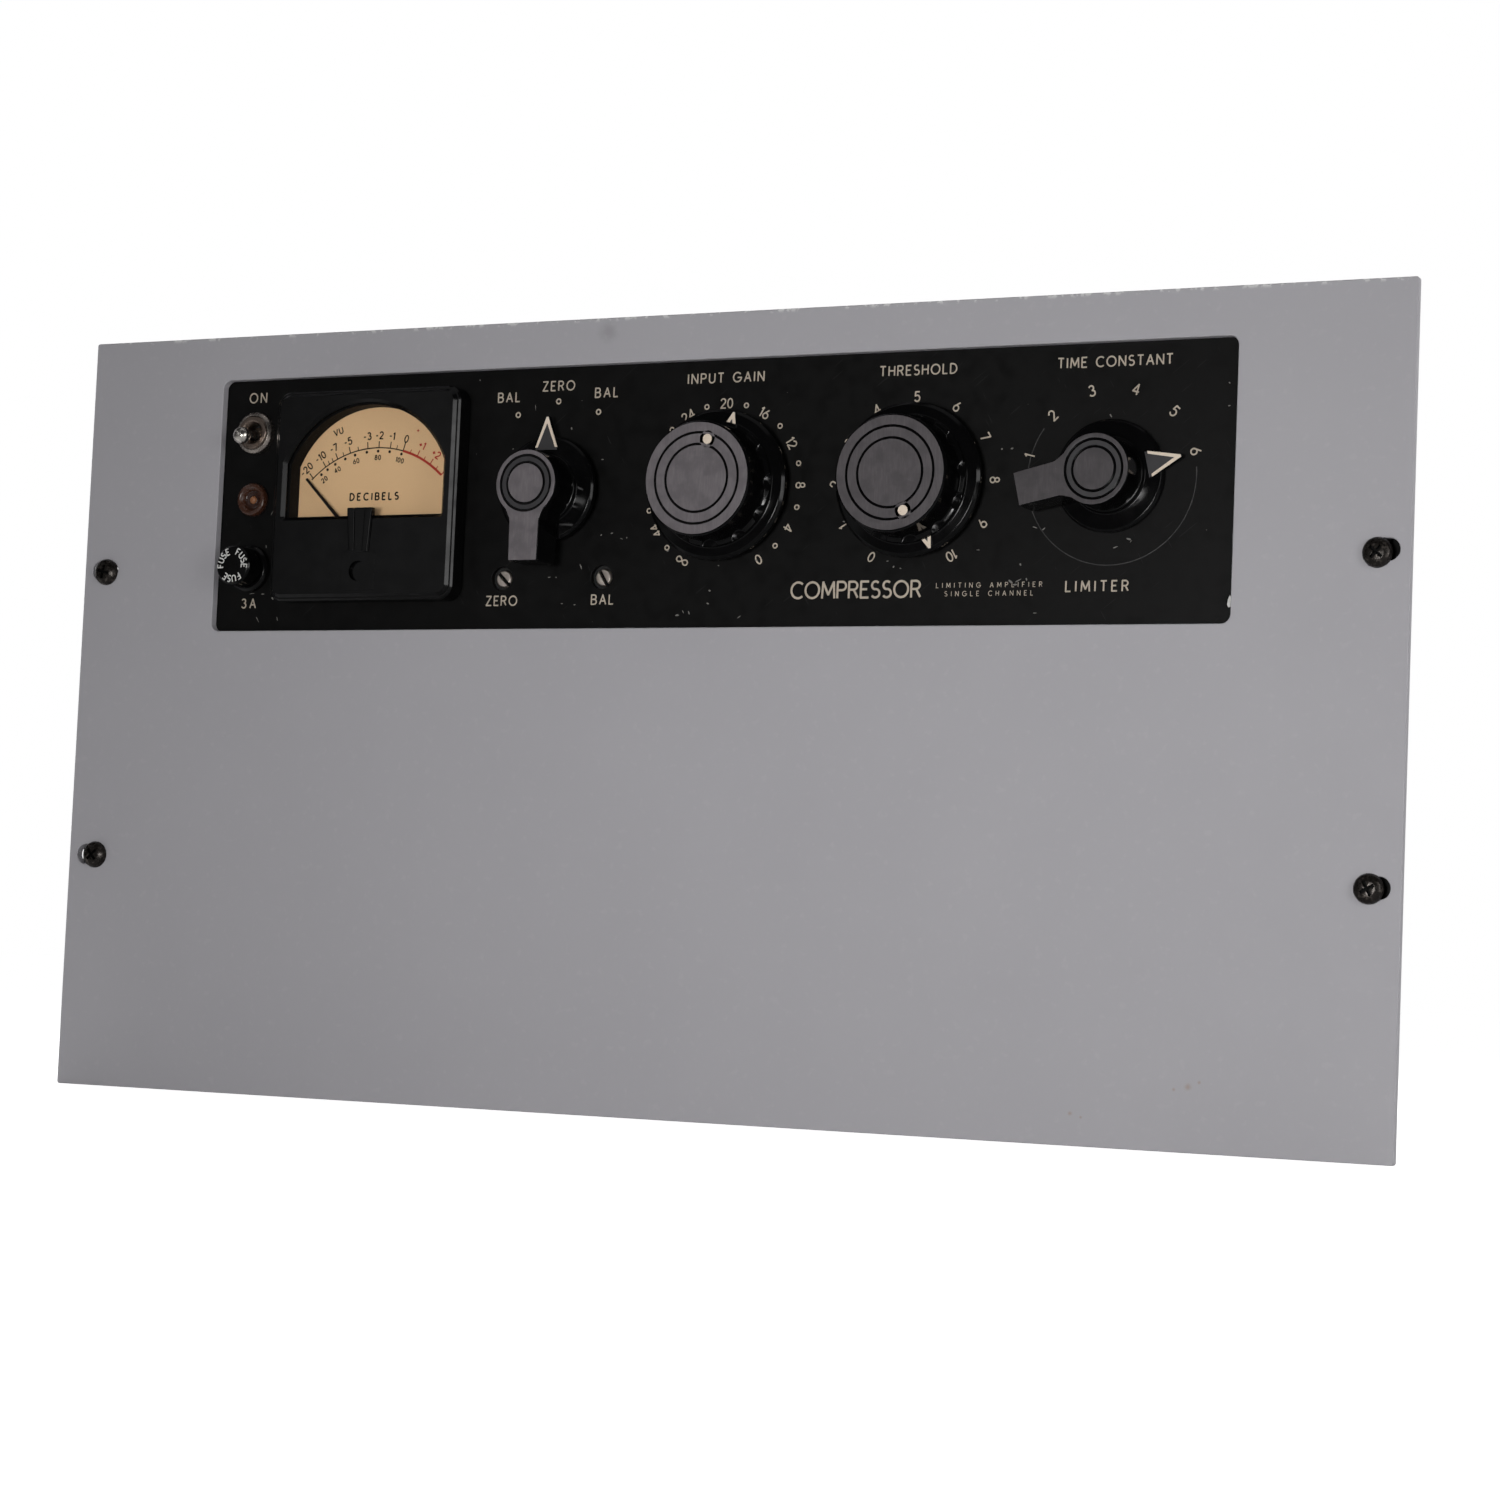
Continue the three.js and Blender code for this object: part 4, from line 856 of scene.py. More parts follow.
def plate_flakes():
    """Small flakes out of the black enamel, each a ragged patch a hair proud of the plate."""
    flakes = []
    for i, (x, z, length, width, lean) in enumerate(FLAKES):
        rim = []
        for k in range(9):
            swell = 1 + 0.4 * math.sin(5.1 * k + 2.3 * i)
            angle = math.tau * k / 9
            rim.append((x + length * swell * math.cos(angle), z + width * swell * math.sin(angle)))
        flake = prism(rim, plate_face - 0.03, plate_face + 0.15, 0.005, 1)
        flakes.append(spun(flake, (x, z), lean))
    edge_chip = prism([
        (184.2, 166.6), (185.0, 166.9), (185.1, 169.6), (184.6, 170.6), (184.0, 169.2), (183.8, 167.6),
    ], plate_face - 0.04, plate_face + 0.3, 0.02, 1)
    piece("plate_flakes", [(flakes, flaked), (edge_chip, white)])


control_plate()
control_legends()
plate_flakes()
# The faint line that the time constant knob has scribed on the plate.
scribed_arc = arc(*timing, 27.8, 27.8, 5, -215, 64)
piece("plate_scribed_ring", [(wire([scribed_arc], 0.16, 0.08, plate_face), scribed)])

# ---- toggle, lamp and fuse ----


def toggle_switch():
    top = plate_face - 3.6
    bushing = turned([
        (3.1, plate_face + 4), (3.1, plate_face - 2.2, 0.4), (3.9, top + 0.3, 0.2), (4.3, top, 0.2),
        (5.5, top, 0.3), (5.9, top + 0.5, 0.2), (5.9, 6.8), (3.1, 6.8),
    ], toggle)
    ridges = [
        turned([(5.85, y), (5.98, y + 0.2), (5.85, y + 0.4)], toggle, 48)
        for y in (top + 0.75 + i * 0.55 for i in range(4))
    ]
    # Painted shade: a near-black disc closes the bushing's bore.
    floor = disc(toggle, 3.2, plate_face + 1.6, plate_face + 3.2, 0.1)
    housing = block(toggle, 8, 14, 5.7, 34, 0.6)
    rear = high("toggle_switch_body").y
    lugs = [block((toggle[0], toggle[1] + dz), 2, 0.5, 33, rear, 0.15) for dz in (-7, 0, 7)]
    piece("toggle_switch", [
        ([bushing, *ridges], dull_nickel), (floor, shade_black), (housing, brown), (lugs, nickel),
    ], "toggle_switch_body")

    front, back = low("toggle_nut").y, high("toggle_nut").y
    ring = turned([
        (6.02, front), (6.35, front - 0.02, 0.2), (7.3, front + 0.85, 0.2), (7.3, back, 0.15), (6.02, back),
    ], toggle, 144)
    teeth = [disc(around(toggle, 7.42, 10 * i), 0.3, front - 1, back + 1, 0, 8) for i in range(36)]
    piece("toggle_ring_nut", [(cut(ring, joined(teeth)), ring_nickel)], "toggle_nut")

    lever = turned([
        (0, -13.8), (1.5, -13.5, 1.2), (2.95, -12.2, 1.6), (2.95, -10.2, 1.4), (2.2, -8.6, 2),
        (1.55, -6, 2), (1.4, -2, 0.8), (2.3, -0.6, 0.6), (2.3, 0.8, 0.6), (1.3, 2.2, 0.4), (0, 2.5),
    ], (0, 0), 48)
    lean = Matrix.Rotation(math.radians(11.3), 4, "X")
    lever.transform(Matrix.Translation((toggle[0], plate_face + 1, toggle[1])) @ lean)
    piece("toggle_bat", [(lever, nickel)], "toggle_lever", "toggle_lever")


def pilot_lamp():
    front = low("pilot_lamp_lens").y
    jewel = turned([
        (0, front + 1.35), (1.0, front + 1.4, 0.4), (1.5, front + 2.2, 0.4), (3.1, front + 2.0, 0.5),
        (3.6, front + 0.9, 0.5), (4.5, front, 0.7), (5.5, front + 0.25, 0.7), (5.9, front + 1.3, 0.4),
        (5.9, plate_face - 0.2, 0.1), (4.6, plate_face - 0.2), (4.6, 10), (0, 10),
    ], lamp)

    # Painted highlight on the jewel's centre, painted shade on the recessed ring round it.
    def finish(centre, normal):
        away = math.dist((centre.x, centre.z), lamp)
        if away < 1.35 and normal.y < 0:
            return lens_painted_highlight
        return lens_painted_shade if away < 3.3 and normal.y < 0.5 else lens_amber

    piece("pilot_lamp_jewel", [(jewel, finish)], "pilot_lamp_lens")


def fuse_holder():
    front, back = low("fuse_cap").y, high("fuse_cap").y
    skirt = turned([
        (4.0, plate_face - 2.9), (7.3, plate_face - 2.9, 0.4), (8.3, plate_face - 2.0, 0.5),
        (8.3, plate_face - 0.2, 0.1), (6.2, plate_face - 0.2), (6.2, 46, 0.4), (0, 46), (0, 43),
        (4.0, 43), (4.0, plate_face - 2.9),
    ], fuse, 64)
    nut = prism(circle(fuse, 9, 6), 5.6, 8.9, holes=[circle(fuse, 6.3, 32)])
    lug = block(fuse, 2, 0.5, 45, high("fuse_holder_body").y, 0.15)
    piece("fuse_holder", [([skirt, nut], gloss), (lug, nickel)], "fuse_holder_body")

    cap = turned([
        (0, front), (6.2, front, 0.4), (6.9, front + 0.75, 0.4), (6.9, plate_face - 4.2, 0.3),
        (6.5, plate_face - 3.2, 0.2), (3.75, plate_face - 3.2), (3.75, back), (0, back),
    ], fuse, 80)
    words = [
        on_scale(letter, fuse, 4.9, word + (i - 1.5) * 23, 2.2, 0.2, y=front)
        for word in (-60, 60, 180) for i, letter in enumerate("FUSE")
    ]
    piece("fuse_cap_top", [(cap, knob_black), (words, white)], "fuse_cap", "fuse_cap")

    a, b, _ = extent("fuse_link")
    start, end = a.y + 5, b.y - 5
    tube = turned([(2.2, start), (2.85, start), (2.85, end), (2.2, end)], fuse, 32)
    caps = [
        turned([(0, y), (3.1, y, 0.5), (3.2, y + 6, 0.1), (0, y + 6)], fuse, 32)
        for y in (a.y + 0.05, b.y - 6.05)
    ]
    element = disc(fuse, 0.12, start, end, 0, 8)
    piece("fuse_cartridge", [(tube, fuse_glass), ([*caps, element], nickel)], "fuse_link",
          "fuse_carrier")


toggle_switch()
pilot_lamp()
fuse_holder()

# ---- meter ----

meter_face = meter_low.y + 0.4
dial_y = low("meter_dial").y
zero_screw = axis("meter_zero_screw")
needle_pivot = (zero_screw[0], 187.2)


def meter_window(margin):
    """The window: straight foot and sides under one broad arc, drawn in by a margin."""
    half_width, foot, shoulder, top = 31.6, 200.1, 219.2, 239.8
    rise = top - shoulder
    radius = (half_width ** 2 + rise ** 2) / (2 * rise)
    half = half_width - margin
    start = math.degrees(math.acos(half / (radius - margin)))
    crown = arc(meter_x, top - radius, radius - margin, radius - margin, start, 180 - start, 40)
    corners = [(meter_x - half, foot + margin, 0.6), (meter_x + half, foot + margin, 0.6)]
    return filleted([*corners, *crown], closed=True)


def meter_case():
    a, b = meter_low, meter_high
    rim, back = meter_face + 1.2, plate_face - 0.2
    flange = prism(inset(a, b, 0, 5, 10), rim, back, 0.6, 1, [meter_window(-0.2)])
    face = prism(inset(a, b, 1.1, 4.2, 10), meter_face, rim + 0.8, 1.0, 1, [meter_window(0)])
    ledge = prism(meter_window(-3), meter_face + 3.0, back, 0.15, holes=[meter_window(0.55)])
    x, z = place = (meter_x, zero_screw[1])
    well = disc(place, 3.5, meter_face - 3, back + 1, 0.1)
    boss = prism(rounded(place, 6.8, 6.8, 0.8), meter_face - 0.15, meter_face + 1, 0.12)
    stem = mirrored(place, [(3.9, 6.4, 0.4), (5.1, 203 - z, 0.5)])
    ribs = [prism(stem, meter_face - 0.45, meter_face + 1.6, 0.4)]
    for side in (-1, 1):
        rib = filleted([
            (x + side * 1.6, z + 6.6, 0.3), (x + side * 3.8, z + 6.6, 0.3),
            (x + side * 5.0, 202.9, 0.4), (x + side * 2.1, 202.9, 0.4),
        ], closed=True)
        ribs.append(prism(rib, meter_face - 1, meter_face + 0.4, 0.4, 4))
    can = turned([
        (34.7, back - 0.5), (34.7, b.y - 2, 1.5), (33, b.y), (0, b.y), (0, b.y - 2),
        (33.4, b.y - 2), (33.4, back - 0.5),
    ], meter_centre, 96)
    piece("meter_body", [
        ([flange, cut(face, well)], gloss), (ledge, matt_black),
        ([cut(boss, well.copy()), *ribs, can], gloss),
    ], "meter_case")


def on_dial(text, radius, degrees, height, stroke, gap=0.34):
    return on_scale(text, needle_pivot, radius, degrees, height, stroke, y=dial_y, squeeze=0.2, gap=gap)


def dial_line(points, width):
    """A printed line through (radius, degrees) points on the dial."""
    return wire([[around(needle_pivot, *point) for point in points]], width / 2, 0.2, dial_y)


def dial_arc(radius, start, end, width):
    steps = int(end - start)
    return dial_line([(radius, start + (end - start) * i / steps) for i in range(steps + 1)], width)


def meter_scale():
    """The card with its printed decibel and percent scales."""
    a, b, _ = extent("meter_dial")
    radius = (b.x - a.x) / 2
    foot = 197.0
    chord = math.degrees(math.asin((foot - meter_centre[1]) / radius))
    outline = arc(*meter_centre, radius, radius, chord, 180 - chord, 64)
    piece("meter_dial_card", [(prism(outline, a.y, b.y, 0.08), card)], "meter_dial")

    line, zero, end = 38, 15.7, 43.0
    decibels = {
        "-20": -42.6, "-10": -33.2, "-7": -25.0, "-5": -16.8, "-3": -6.0, "-2": 0.7, "-1": 7.6,
        "0": zero, "+1": 24.9, "+2": 33.9, "+3": end,
    }
    percent = [("20", -37.6), (None, -33.0), ("40", -27.5), (None, -20.7), ("60", -14.3),
               (None, -6.8), ("80", 0.3), (None, 7.6), ("100", 15.2)]
    parts = [(dial_arc(line, -43.8, zero, 0.42), black_ink), (dial_arc(line, zero, end, 0.85), red_ink)]
    for text, degrees in decibels.items():
        colour = red_ink if degrees > zero else black_ink
        outer = 41.0 if degrees == zero else 40.3
        parts.append((dial_line([(line, degrees), (outer, degrees)], 0.4), colour))
        parts.append((on_dial(text, 42.3, degrees, 2.4, 0.2, gap=0.3), colour))
    for degrees in (-30.5, -28.0, -21.0, -11.8, 11.6, 20.2, 29.4, 38.4):
        colour = red_ink if degrees > zero else black_ink
        parts.append((dial_line([(line, degrees), (39.4, degrees)], 0.3), colour))
    for text, degrees in percent:
        place = around(needle_pivot, 36.8, degrees)
        parts.append((disc(place, 0.52, dial_y - 0.03, dial_y + 0.2, 0.01, 16), black_ink))
        if text:
            parts.append((on_dial(text, 34.6, degrees, 1.55, 0.23), black_ink))
    for text, place, height, stroke, more, colour in (
        ("VU", (-139.4, 231.3), 2.1, 0.2, {"tilt": -21}, black_ink),
        ("+", (-107.2, 230.8), 2.2, 0.14, {}, red_ink),
        ("DECIBELS", (-123.6, 208.2), 2.35, 0.24, {"width": 20}, black_ink),
    ):
        parts.append((lettering(text, place, height, stroke, dial_y, squeeze=0.2, **more), colour))
    piece("meter_scale_print", parts)


def meter_pane():
    a, b, _ = extent("meter_glass")
    sheet = prism(meter_window(0.2), a.y, b.y, 0.15)
    piece("meter_window_pane", [(sheet, pane)], "meter_glass")


def meter_needle():
    y = low("meter_needle").y + 0.4
    blade, tail = (
        prism(mirrored(needle_pivot, half), y, y + 0.5, 0.08)
        for half in ([(0.75, -1), (0.42, 36), (0.4, 38.6)], [(0.8, -6), (0.5, 0)])
    )
    hub = disc(needle_pivot, 1.8, y - 0.4, high("meter_needle").y, 0.2)
    parts = [spun(mesh, needle_pivot, -44.7) for mesh in (blade, tail, hub)]
    piece("meter_pointer", [(parts, needle_dark)], "meter_needle", "meter_needle")


def meter_zero_screw():
    a, b, place = extent("meter_zero_screw")
    head = turned([
        (0, a.y - 0.3), (1.7, a.y - 0.15, 1.5), (2.8, a.y + 0.7, 1.2), (3.25, a.y + 1.9, 0.5),
        (3.25, b.y, 0.2), (0, b.y),
    ], place, 48)
    slot = prism(mirrored(place, [(4, -0.4), (4, 0.4)]), a.y - 1, a.y + 0.9, 0.05)
    screw = softened(cut(head, spun(slot, place, 20)), 0.08)
    piece("meter_zero_screw_head", [(screw, gloss)], "meter_zero_screw",
          "meter_zero_screw")


meter_case()
meter_scale()
meter_pane()
meter_needle()
meter_zero_screw()

# ---- knobs ----

KNOB_HEIGHT, POINTER_LIFT, POINTER_REACH = 16.25, 3.2, 24.6


def faced(y, worn):
    """Worn where the mould was faced flat, black elsewhere."""
    return lambda centre, normal: worn if normal.y < -0.95 and centre.y < y + 0.12 else knob_black


def pointer(place, back):
    """Raised wedge on the skirt, and the painted inverted V that it carries."""
    x, z = place
    front = back - POINTER_LIFT
    wedge = mirrored(place, [(4.3, 13), (0.5, POINTER_REACH, 0.4)])
    chevron = [
        (x - 4.15, z + 14), (x - 3.25, z + 14), (x, z + 22.1), (x + 3.25, z + 14), (x + 4.15, z + 14),
        (x + 0.35, z + POINTER_REACH - 0.3), (x - 0.35, z + POINTER_REACH - 0.3),
    ]
    return [(prism(wedge, front, front + 1.8, 0.2), faced(front, face_dark)),
            (prism(chevron, front - 0.05, front + 0.3, 0.02, 1), cream)]


def bore(place, back):
    top = back - 12.2
    return turned([
        (0, top), (3.32, top), (3.32, back - 4.4), (9.4, back - 4.4), (9.4, back + 1), (0, back + 1),
    ], place, 48)


def fitted(name, node, parts, place, turn):
    """A knob's piece, turned to where its pointer stands."""
    for mesh, _ in parts:
        spun(mesh, place, turn)
    piece(name, parts, node, node.removesuffix("_knob"))


def round_knob(name, node, place, turn, worn):
    """Fluted grip on a wide skirt; two rings and an index spot on the face."""
    back = high(node).y
    face = back - KNOB_HEIGHT
    grip = turned([
        (0, face), (18.3, face, 0.35), (18.95, face + 0.75, 0.5), (19.2, back - 4.6, 0.8),
        (20.6, back - 4.2, 0.5), (20.9, back - 2.9, 0.6), (23.9, back - 2.5, 0.6),
        (25, back - 1.5, 0.35), (25, back, 0.25), (0, back),
    ], place, 144)
    rings = []
    for inner, outer in ((10.68, 11.52), (14.48, 15.32)):
        groove = [(inner, face - 1), (inner, face + 0.45), (outer, face + 0.45), (outer, face - 1)]
        rings.append(turned(groove, place, 128))
    flute = [
        (0, face + 1.9), (2.2, face + 2.1, 0.6), (3.2, face + 3.2, 1), (3.2, back - 3.9, 0.5),
        (0, back - 3.5),
    ]
    flute_circle, flute_count = 21.35, 12
    flutes = [
        turned(flute, around(place, flute_circle, 15 + 360 * i / flute_count), 32)
        for i in range(flute_count)
    ]
    body = softened(cut(grip, joined(rings), joined(flutes), bore(place, back)), 0.12, 38)
    index = (place[0], place[1] + 13.1)
    spot = turned([(0, face), (2.85, face, 0.15), (2.85, face + 1), (0, face + 1)], index, 48)
    dot = turned([(0, face - 0.1), (1.65, face - 0.06, 0.1), (1.7, face + 0.4), (0, face + 0.4)], index, 40)
    finish = faced(face, worn)
    parts = [(body, finish), (spot, finish), (dot, cream), *pointer(place, back)]
    fitted(name, node, parts, place, turn)


def bar_knob(name, node, place, turn, worn):
    """Round head with a straight handle opposite the pointer, on a small skirt."""
    x, z = place
    back = high(node).y
    face = back - KNOB_HEIGHT
    head_radius, half, reach = 11.3, 5.45, 26
    outline = arc(x, z, head_radius, head_radius, -50, 230, 64)
    outline += filleted([
        outline[-1], (x - half - 0.2, z - 12.0, 3.5), (x - half, z - reach, 0.5),
        (x + half, z - reach, 0.5), (x + half + 0.2, z - 12.0, 3.5), outline[0],
    ])[1:-1]
    ring_zone = turned([
        (6.5, face - 1), (6.5, face + 0.55), (7.3, face + 0.55, 0.1), (7.35, face + 0.14),
        (8.9, face + 0.14, 0.1), (8.9, face + 0.55), (9.7, face + 0.55), (9.7, face - 1),
    ], place, 128)
    head = softened(cut(prism(outline, face, back - 3.4, 0.4, 4), ring_zone), 0.08, 38)
    flute = [
        (0, face + 1.6), (1.5, face + 1.8, 0.5), (2.1, face + 2.6, 0.6), (2.1, back - 3.5), (0, back - 3),
    ]
    flutes = [
        turned(flute, around(place, head_radius + 1.5, side * degrees), 24)
        for side in (1, -1) for degrees in (60, 90, 120)
    ]
    skirt = turned([
        (0, back - 5), (11.6, back - 4.2, 0.6), (12.2, back - 2.9, 0.6), (17.1, back - 2.5, 0.5),
        (17.9, back - 1.7, 0.3), (17.9, back, 0.2), (0, back),
    ], place, 128)

    def finish(centre, normal):
        if normal.y > -0.95 or centre.y > face + 0.3:
            return knob_black
        return face_dark if centre.y > face + 0.1 else worn

    parts = [(cut(head, joined(flutes)), finish), (cut(skirt, bore(place, back)), knob_black)]
    fitted(name, node, parts + pointer(place, back), place, turn)


bar_knob("selector_bar_knob", "meter_selector_knob", selector, 0, face_grey)
round_knob("gain_round_knob", "input_gain_knob", gain, 15, face_grey)
round_knob("threshold_round_knob", "threshold_knob", threshold, 157.5, face_middle_tone)
bar_knob("time_bar_knob", "time_constant_knob", timing, 77, face_dim_tone)


def adjuster(name, node, turn):
    """Slotted screwdriver shaft standing in its hole in the plate."""
    a, b, place = extent(node)
    rod = turned([(0, a.y), (2.5, a.y, 0.1), (2.95, a.y + 0.4, 0.2), (2.95, b.y, 0.2), (0, b.y)], place, 64)
    slot = block(place, 4, 0.6, a.y - 1, a.y + 1.6, 0)
    shaft = softened(cut(rod, spun(slot, place, turn)), 0.08)
    # Painted shade: the screwdriver slot is matt black.
    finish = sunk(place, 2.8, a.y + 0.3, a.y + 1.8, slot_metal)
    piece(name, [(shaft, finish)], node, node.removesuffix("_shaft"))


adjuster("zero_slotted_shaft", "zero_adjuster_shaft", 45)
adjuster("balance_slotted_shaft", "balance_adjuster_shaft", 58)

# ---- chassis and what stands on it ----

keep(tray_steel, "chassis_tray", bevel=0.5)
keep(steel, "rear_bracket_left", "rear_bracket_right", bevel=0.4)
keep(board, "component_board")
keep(pot_metal, "meter_movement", "input_gain_attenuator", "threshold_control", "pilot_lamp_holder")
keep(nickel, "meter_selector_shaft", "input_gain_shaft", "threshold_shaft", "time_constant_shaft")
keep(brown, "meter_selector_switch", "time_constant_switch")
# The adjuster controls are near-black as painted shade seen through the plate holes.
keep(shade_black, "zero_adjuster_control", "balance_adjuster_control")
keep(fuse_glass, "pilot_lamp_bulb")


def pan_head(x, z, y, radius=3.0, height=1.8):
    """Slotted screw head facing the back."""
    head = turned([
        (0, y + height), (radius * 0.6, y + height - 0.15, 1), (radius, y + height * 0.4, 0.5),
        (radius, y), (0, y),
    ], (x, z), 32)
    slot = block((x, z), radius + 1, 0.35, y + height - 0.8, y + height + 1, 0)
    return cut(head, spun(slot, (x, z), (x * 37 + z * 11) % 180))


def corners(a, b, margin_x, margin_z):
    return [(x, z) for x in (a.x + margin_x, b.x - margin_x) for z in (a.z + margin_z, b.z - margin_z)]


def laminated(node):
    """Core of stacked plates between two drawn bells, on a flanged foot."""
    a, b, place = extent(node)
    half_x, half_z = (b.x - a.x) / 2 - 6, (b.z - a.z) / 2 - 2

    def up(share):
        return a.y + (b.y - a.y) * share

    def layer(margin, radius, y0, y1, bevel, steps=3, round_steps=6):
        outline = rounded(place, half_x - margin, half_z - margin, radius, round_steps)
        return prism(outline, y0, y1, bevel, steps)

    flange = prism(inset(a, b, 0, 3), a.y, a.y + 2.4, 0.5)
    lower = layer(4, 8, a.y + 2, up(0.32), 0.8)
    core = block(place, half_x, half_z, up(0.3), up(0.7), 0.4)
    bell_rim = layer(0.6, 5, up(0.69), up(0.74), 0.7)
    bell = layer(3.5, 10, up(0.72), b.y, min(9, (b.y - a.y) * 0.12), 8, 8)
    bolts, seat = [], up(0.74)
    for x, z in corners(a, b, 11, 7):
        bolts.append(prism(circle((x, z), 3.6, 6), seat, seat + 2.6))
        bolts.append(disc((x, z), 1.9, seat, seat + 4.4, 0.4, 24))
    bolts += [pan_head(x, z, a.y + 2.3, 2.4, 1.4) for x, z in corners(a, b, 3.2, 10)]
    parts = [([flange, lower], enamel), (core, core_plates), ([bell_rim, bell], enamel), (bolts, nickel)]
    piece(f"{node}_unit", parts, node)


def potted(node):
    """Drawn can with a flanged rim and a pressed lid."""
    a, b, _ = extent(node)
    rim = prism(inset(a, b, 0, 6), a.y, a.y + 1.9, 0.5)
    can = prism(inset(a, b, 4, 7, 8), a.y + 1.5, b.y - 0.8, 3.2, 6)
    lid = prism(inset(a, b, 8, 5, 8), b.y - 3, b.y, 0.7)
    screws = [pan_head(x, z, a.y + 1.8, 1.5, 1.0) for x, z in corners(a, b, 2.1, 2.1)]
    piece(f"{node}_unit", [([rim, can, lid], enamel), (screws, nickel)], node)


for node in ("power_transformer", "filter_choke"):
    laminated(node)
for node in ("sidechain_transformer", "output_transformer", "input_transformer"):
    potted(node)


def bulb_shell(profile, wall, place):
    """A thin glass shell: the profile outside, and the same drawn in by the wall thickness."""
    outside = filleted(profile)
    inside = [(max(0, r - wall), y - (wall if r < 2 else 0)) for r, y in outside]
    return turned([*outside, *inside[::-1], outside[0]], place, 64)


def electrodes(place, y0, y1, radius):
    """Grey anode with pressed ribs between two mica spacers, on stiff wires."""
    wide, thin = radius * 0.62, radius * 0.36

    def up(share):
        return y0 + (y1 - y0) * share

    anode = prism(rounded(place, wide, thin, thin * 0.9, 8), up(0.22), up(0.76), 0.25)
    rib = rounded(place, wide + 0.35, thin + 0.35, thin * 0.9, 8)
    ribs = [prism(rib, up(share), up(share) + 0.9, 0.2) for share in (0.27, 0.46, 0.65)]
    spacers = [disc(place, radius * 0.86, up(share), up(share) + 0.35, 0.08, 32) for share in (0.18, 0.78)]
    wires = [
        disc((place[0] + dx * wide, place[1] + dz * thin), 0.3, y0, up(0.82), 0.05, 8)
        for dx, dz in ((-0.8, -0.7), (0.8, 0.7), (0, -1.25), (0, 1.25))
    ]
    halo = turned([
        (radius * 0.3, up(0.84)), (radius * 0.45, up(0.84), 0.1), (radius * 0.45, up(0.86), 0.1),
        (radius * 0.3, up(0.86)),
    ], place, 24)
    return [([anode, *ribs], plate_metal), (spacers, mica), ([*wires, halo], nickel)]


def small_valve(node):
    a, b, place = extent(node)
    radius = (b.x - a.x) / 2
    shell = bulb_shell([
        (radius - 1.0, a.y), (radius, a.y + 2, 1), (radius, b.y - radius * 0.85, radius * 0.6),
        (radius * 0.55, b.y - 4.2, 2), (1.9, b.y - 2.8, 1), (0.9, b.y - 0.6, 0.5), (0, b.y),
    ], 0.7, place)
    button = disc(place, radius - 1.7, a.y, a.y + 2.5, 0.5, 32)
    silver = turned([
        (radius * 0.2, b.y - 4.0), (radius * 0.5, b.y - 5.0, 2), (radius * 0.86, b.y - radius * 0.86),
        (radius * 0.84, b.y - radius * 0.9), (radius * 0.46, b.y - 5.3, 2), (radius * 0.2, b.y - 4.3),
    ], place, 48)
    parts = [(shell, glass), (button, mica), (silver, getter)]
    parts += electrodes(place, a.y + 2, b.y - 5, radius * 0.86)
    piece(f"{node}_bulb", parts, node)


def octal_valve(node):
    a, b, place = extent(node)
    radius = (b.x - a.x) / 2
    collar = turned([
        (0, a.y), (15.4, a.y, 0.5), (16.2, a.y + 1, 0.4), (16.2, a.y + 13.5, 0.8), (14, a.y + 14.2),
        (0, a.y + 14),
    ], place)
    shell = bulb_shell([
        (14.6, a.y + 13.5), (16.4, a.y + 19, 4), (radius, a.y + 30, 8), (radius, b.y - 16, 12),
        (11, b.y - 3.5, 6), (0, b.y),
    ], 0.8, place)
    inner = electrodes(place, a.y + 14, b.y - 4, radius * 0.8)
    piece(f"{node}_bulb", [(collar, gloss), (shell, glass), *inner], node)


small_valves = [*[f"gain_valve_{i}" for i in range(1, 5)], "driver_valve"]
power_valves = ["output_valve_1", "output_valve_2"]
for node in small_valves + power_valves:
    small_valve(node)
octal_valve("rectifier_valve")


def socket_plate(name, node, sockets):
    """Brown plate carrying the valve sockets, with a raised ring at each and screws between."""
    a, b, (_, z) = extent(node)
    seat = deck_rear + 0.2
    parts = [(prism(inset(a, b, 0, 4), seat, seat + 1.6), brown)]
    for place, radius in sockets:
        parts.append((turned([
            (0, a.y), (radius, a.y, 0.5), (radius, b.y - 0.8, 0.4), (radius - 0.6, b.y, 0.3), (0, b.y),
        ], place, 64), brown))
        parts.append((turned([
            (radius + 0.2, seat + 1.5), (radius + 1.8, seat + 1.5, 0.3), (radius + 1.8, seat + 2.6, 0.4),
            (radius + 0.2, seat + 2.6), (radius + 0.2, seat + 1.5),
        ], place, 64), nickel))
    xs = [place[0] for place, _ in sockets]
    screws = [(left + right) / 2 for left, right in zip(xs, xs[1:])] + [b.x - 5, a.x + 4.5]
    parts.append(([pan_head(x, z, seat + 1.55, 2.2, 1.4) for x in screws], nickel))
    piece(name, parts, node)


power_sockets = [(axis(node), 10) for node in power_valves] + [(axis("rectifier_valve"), 14.5)]
socket_plate("small_socket_strip", "small_valve_socket_plate", [(axis(node), 10) for node in small_valves])
socket_plate("power_socket_strip", "power_valve_socket_plate", power_sockets)


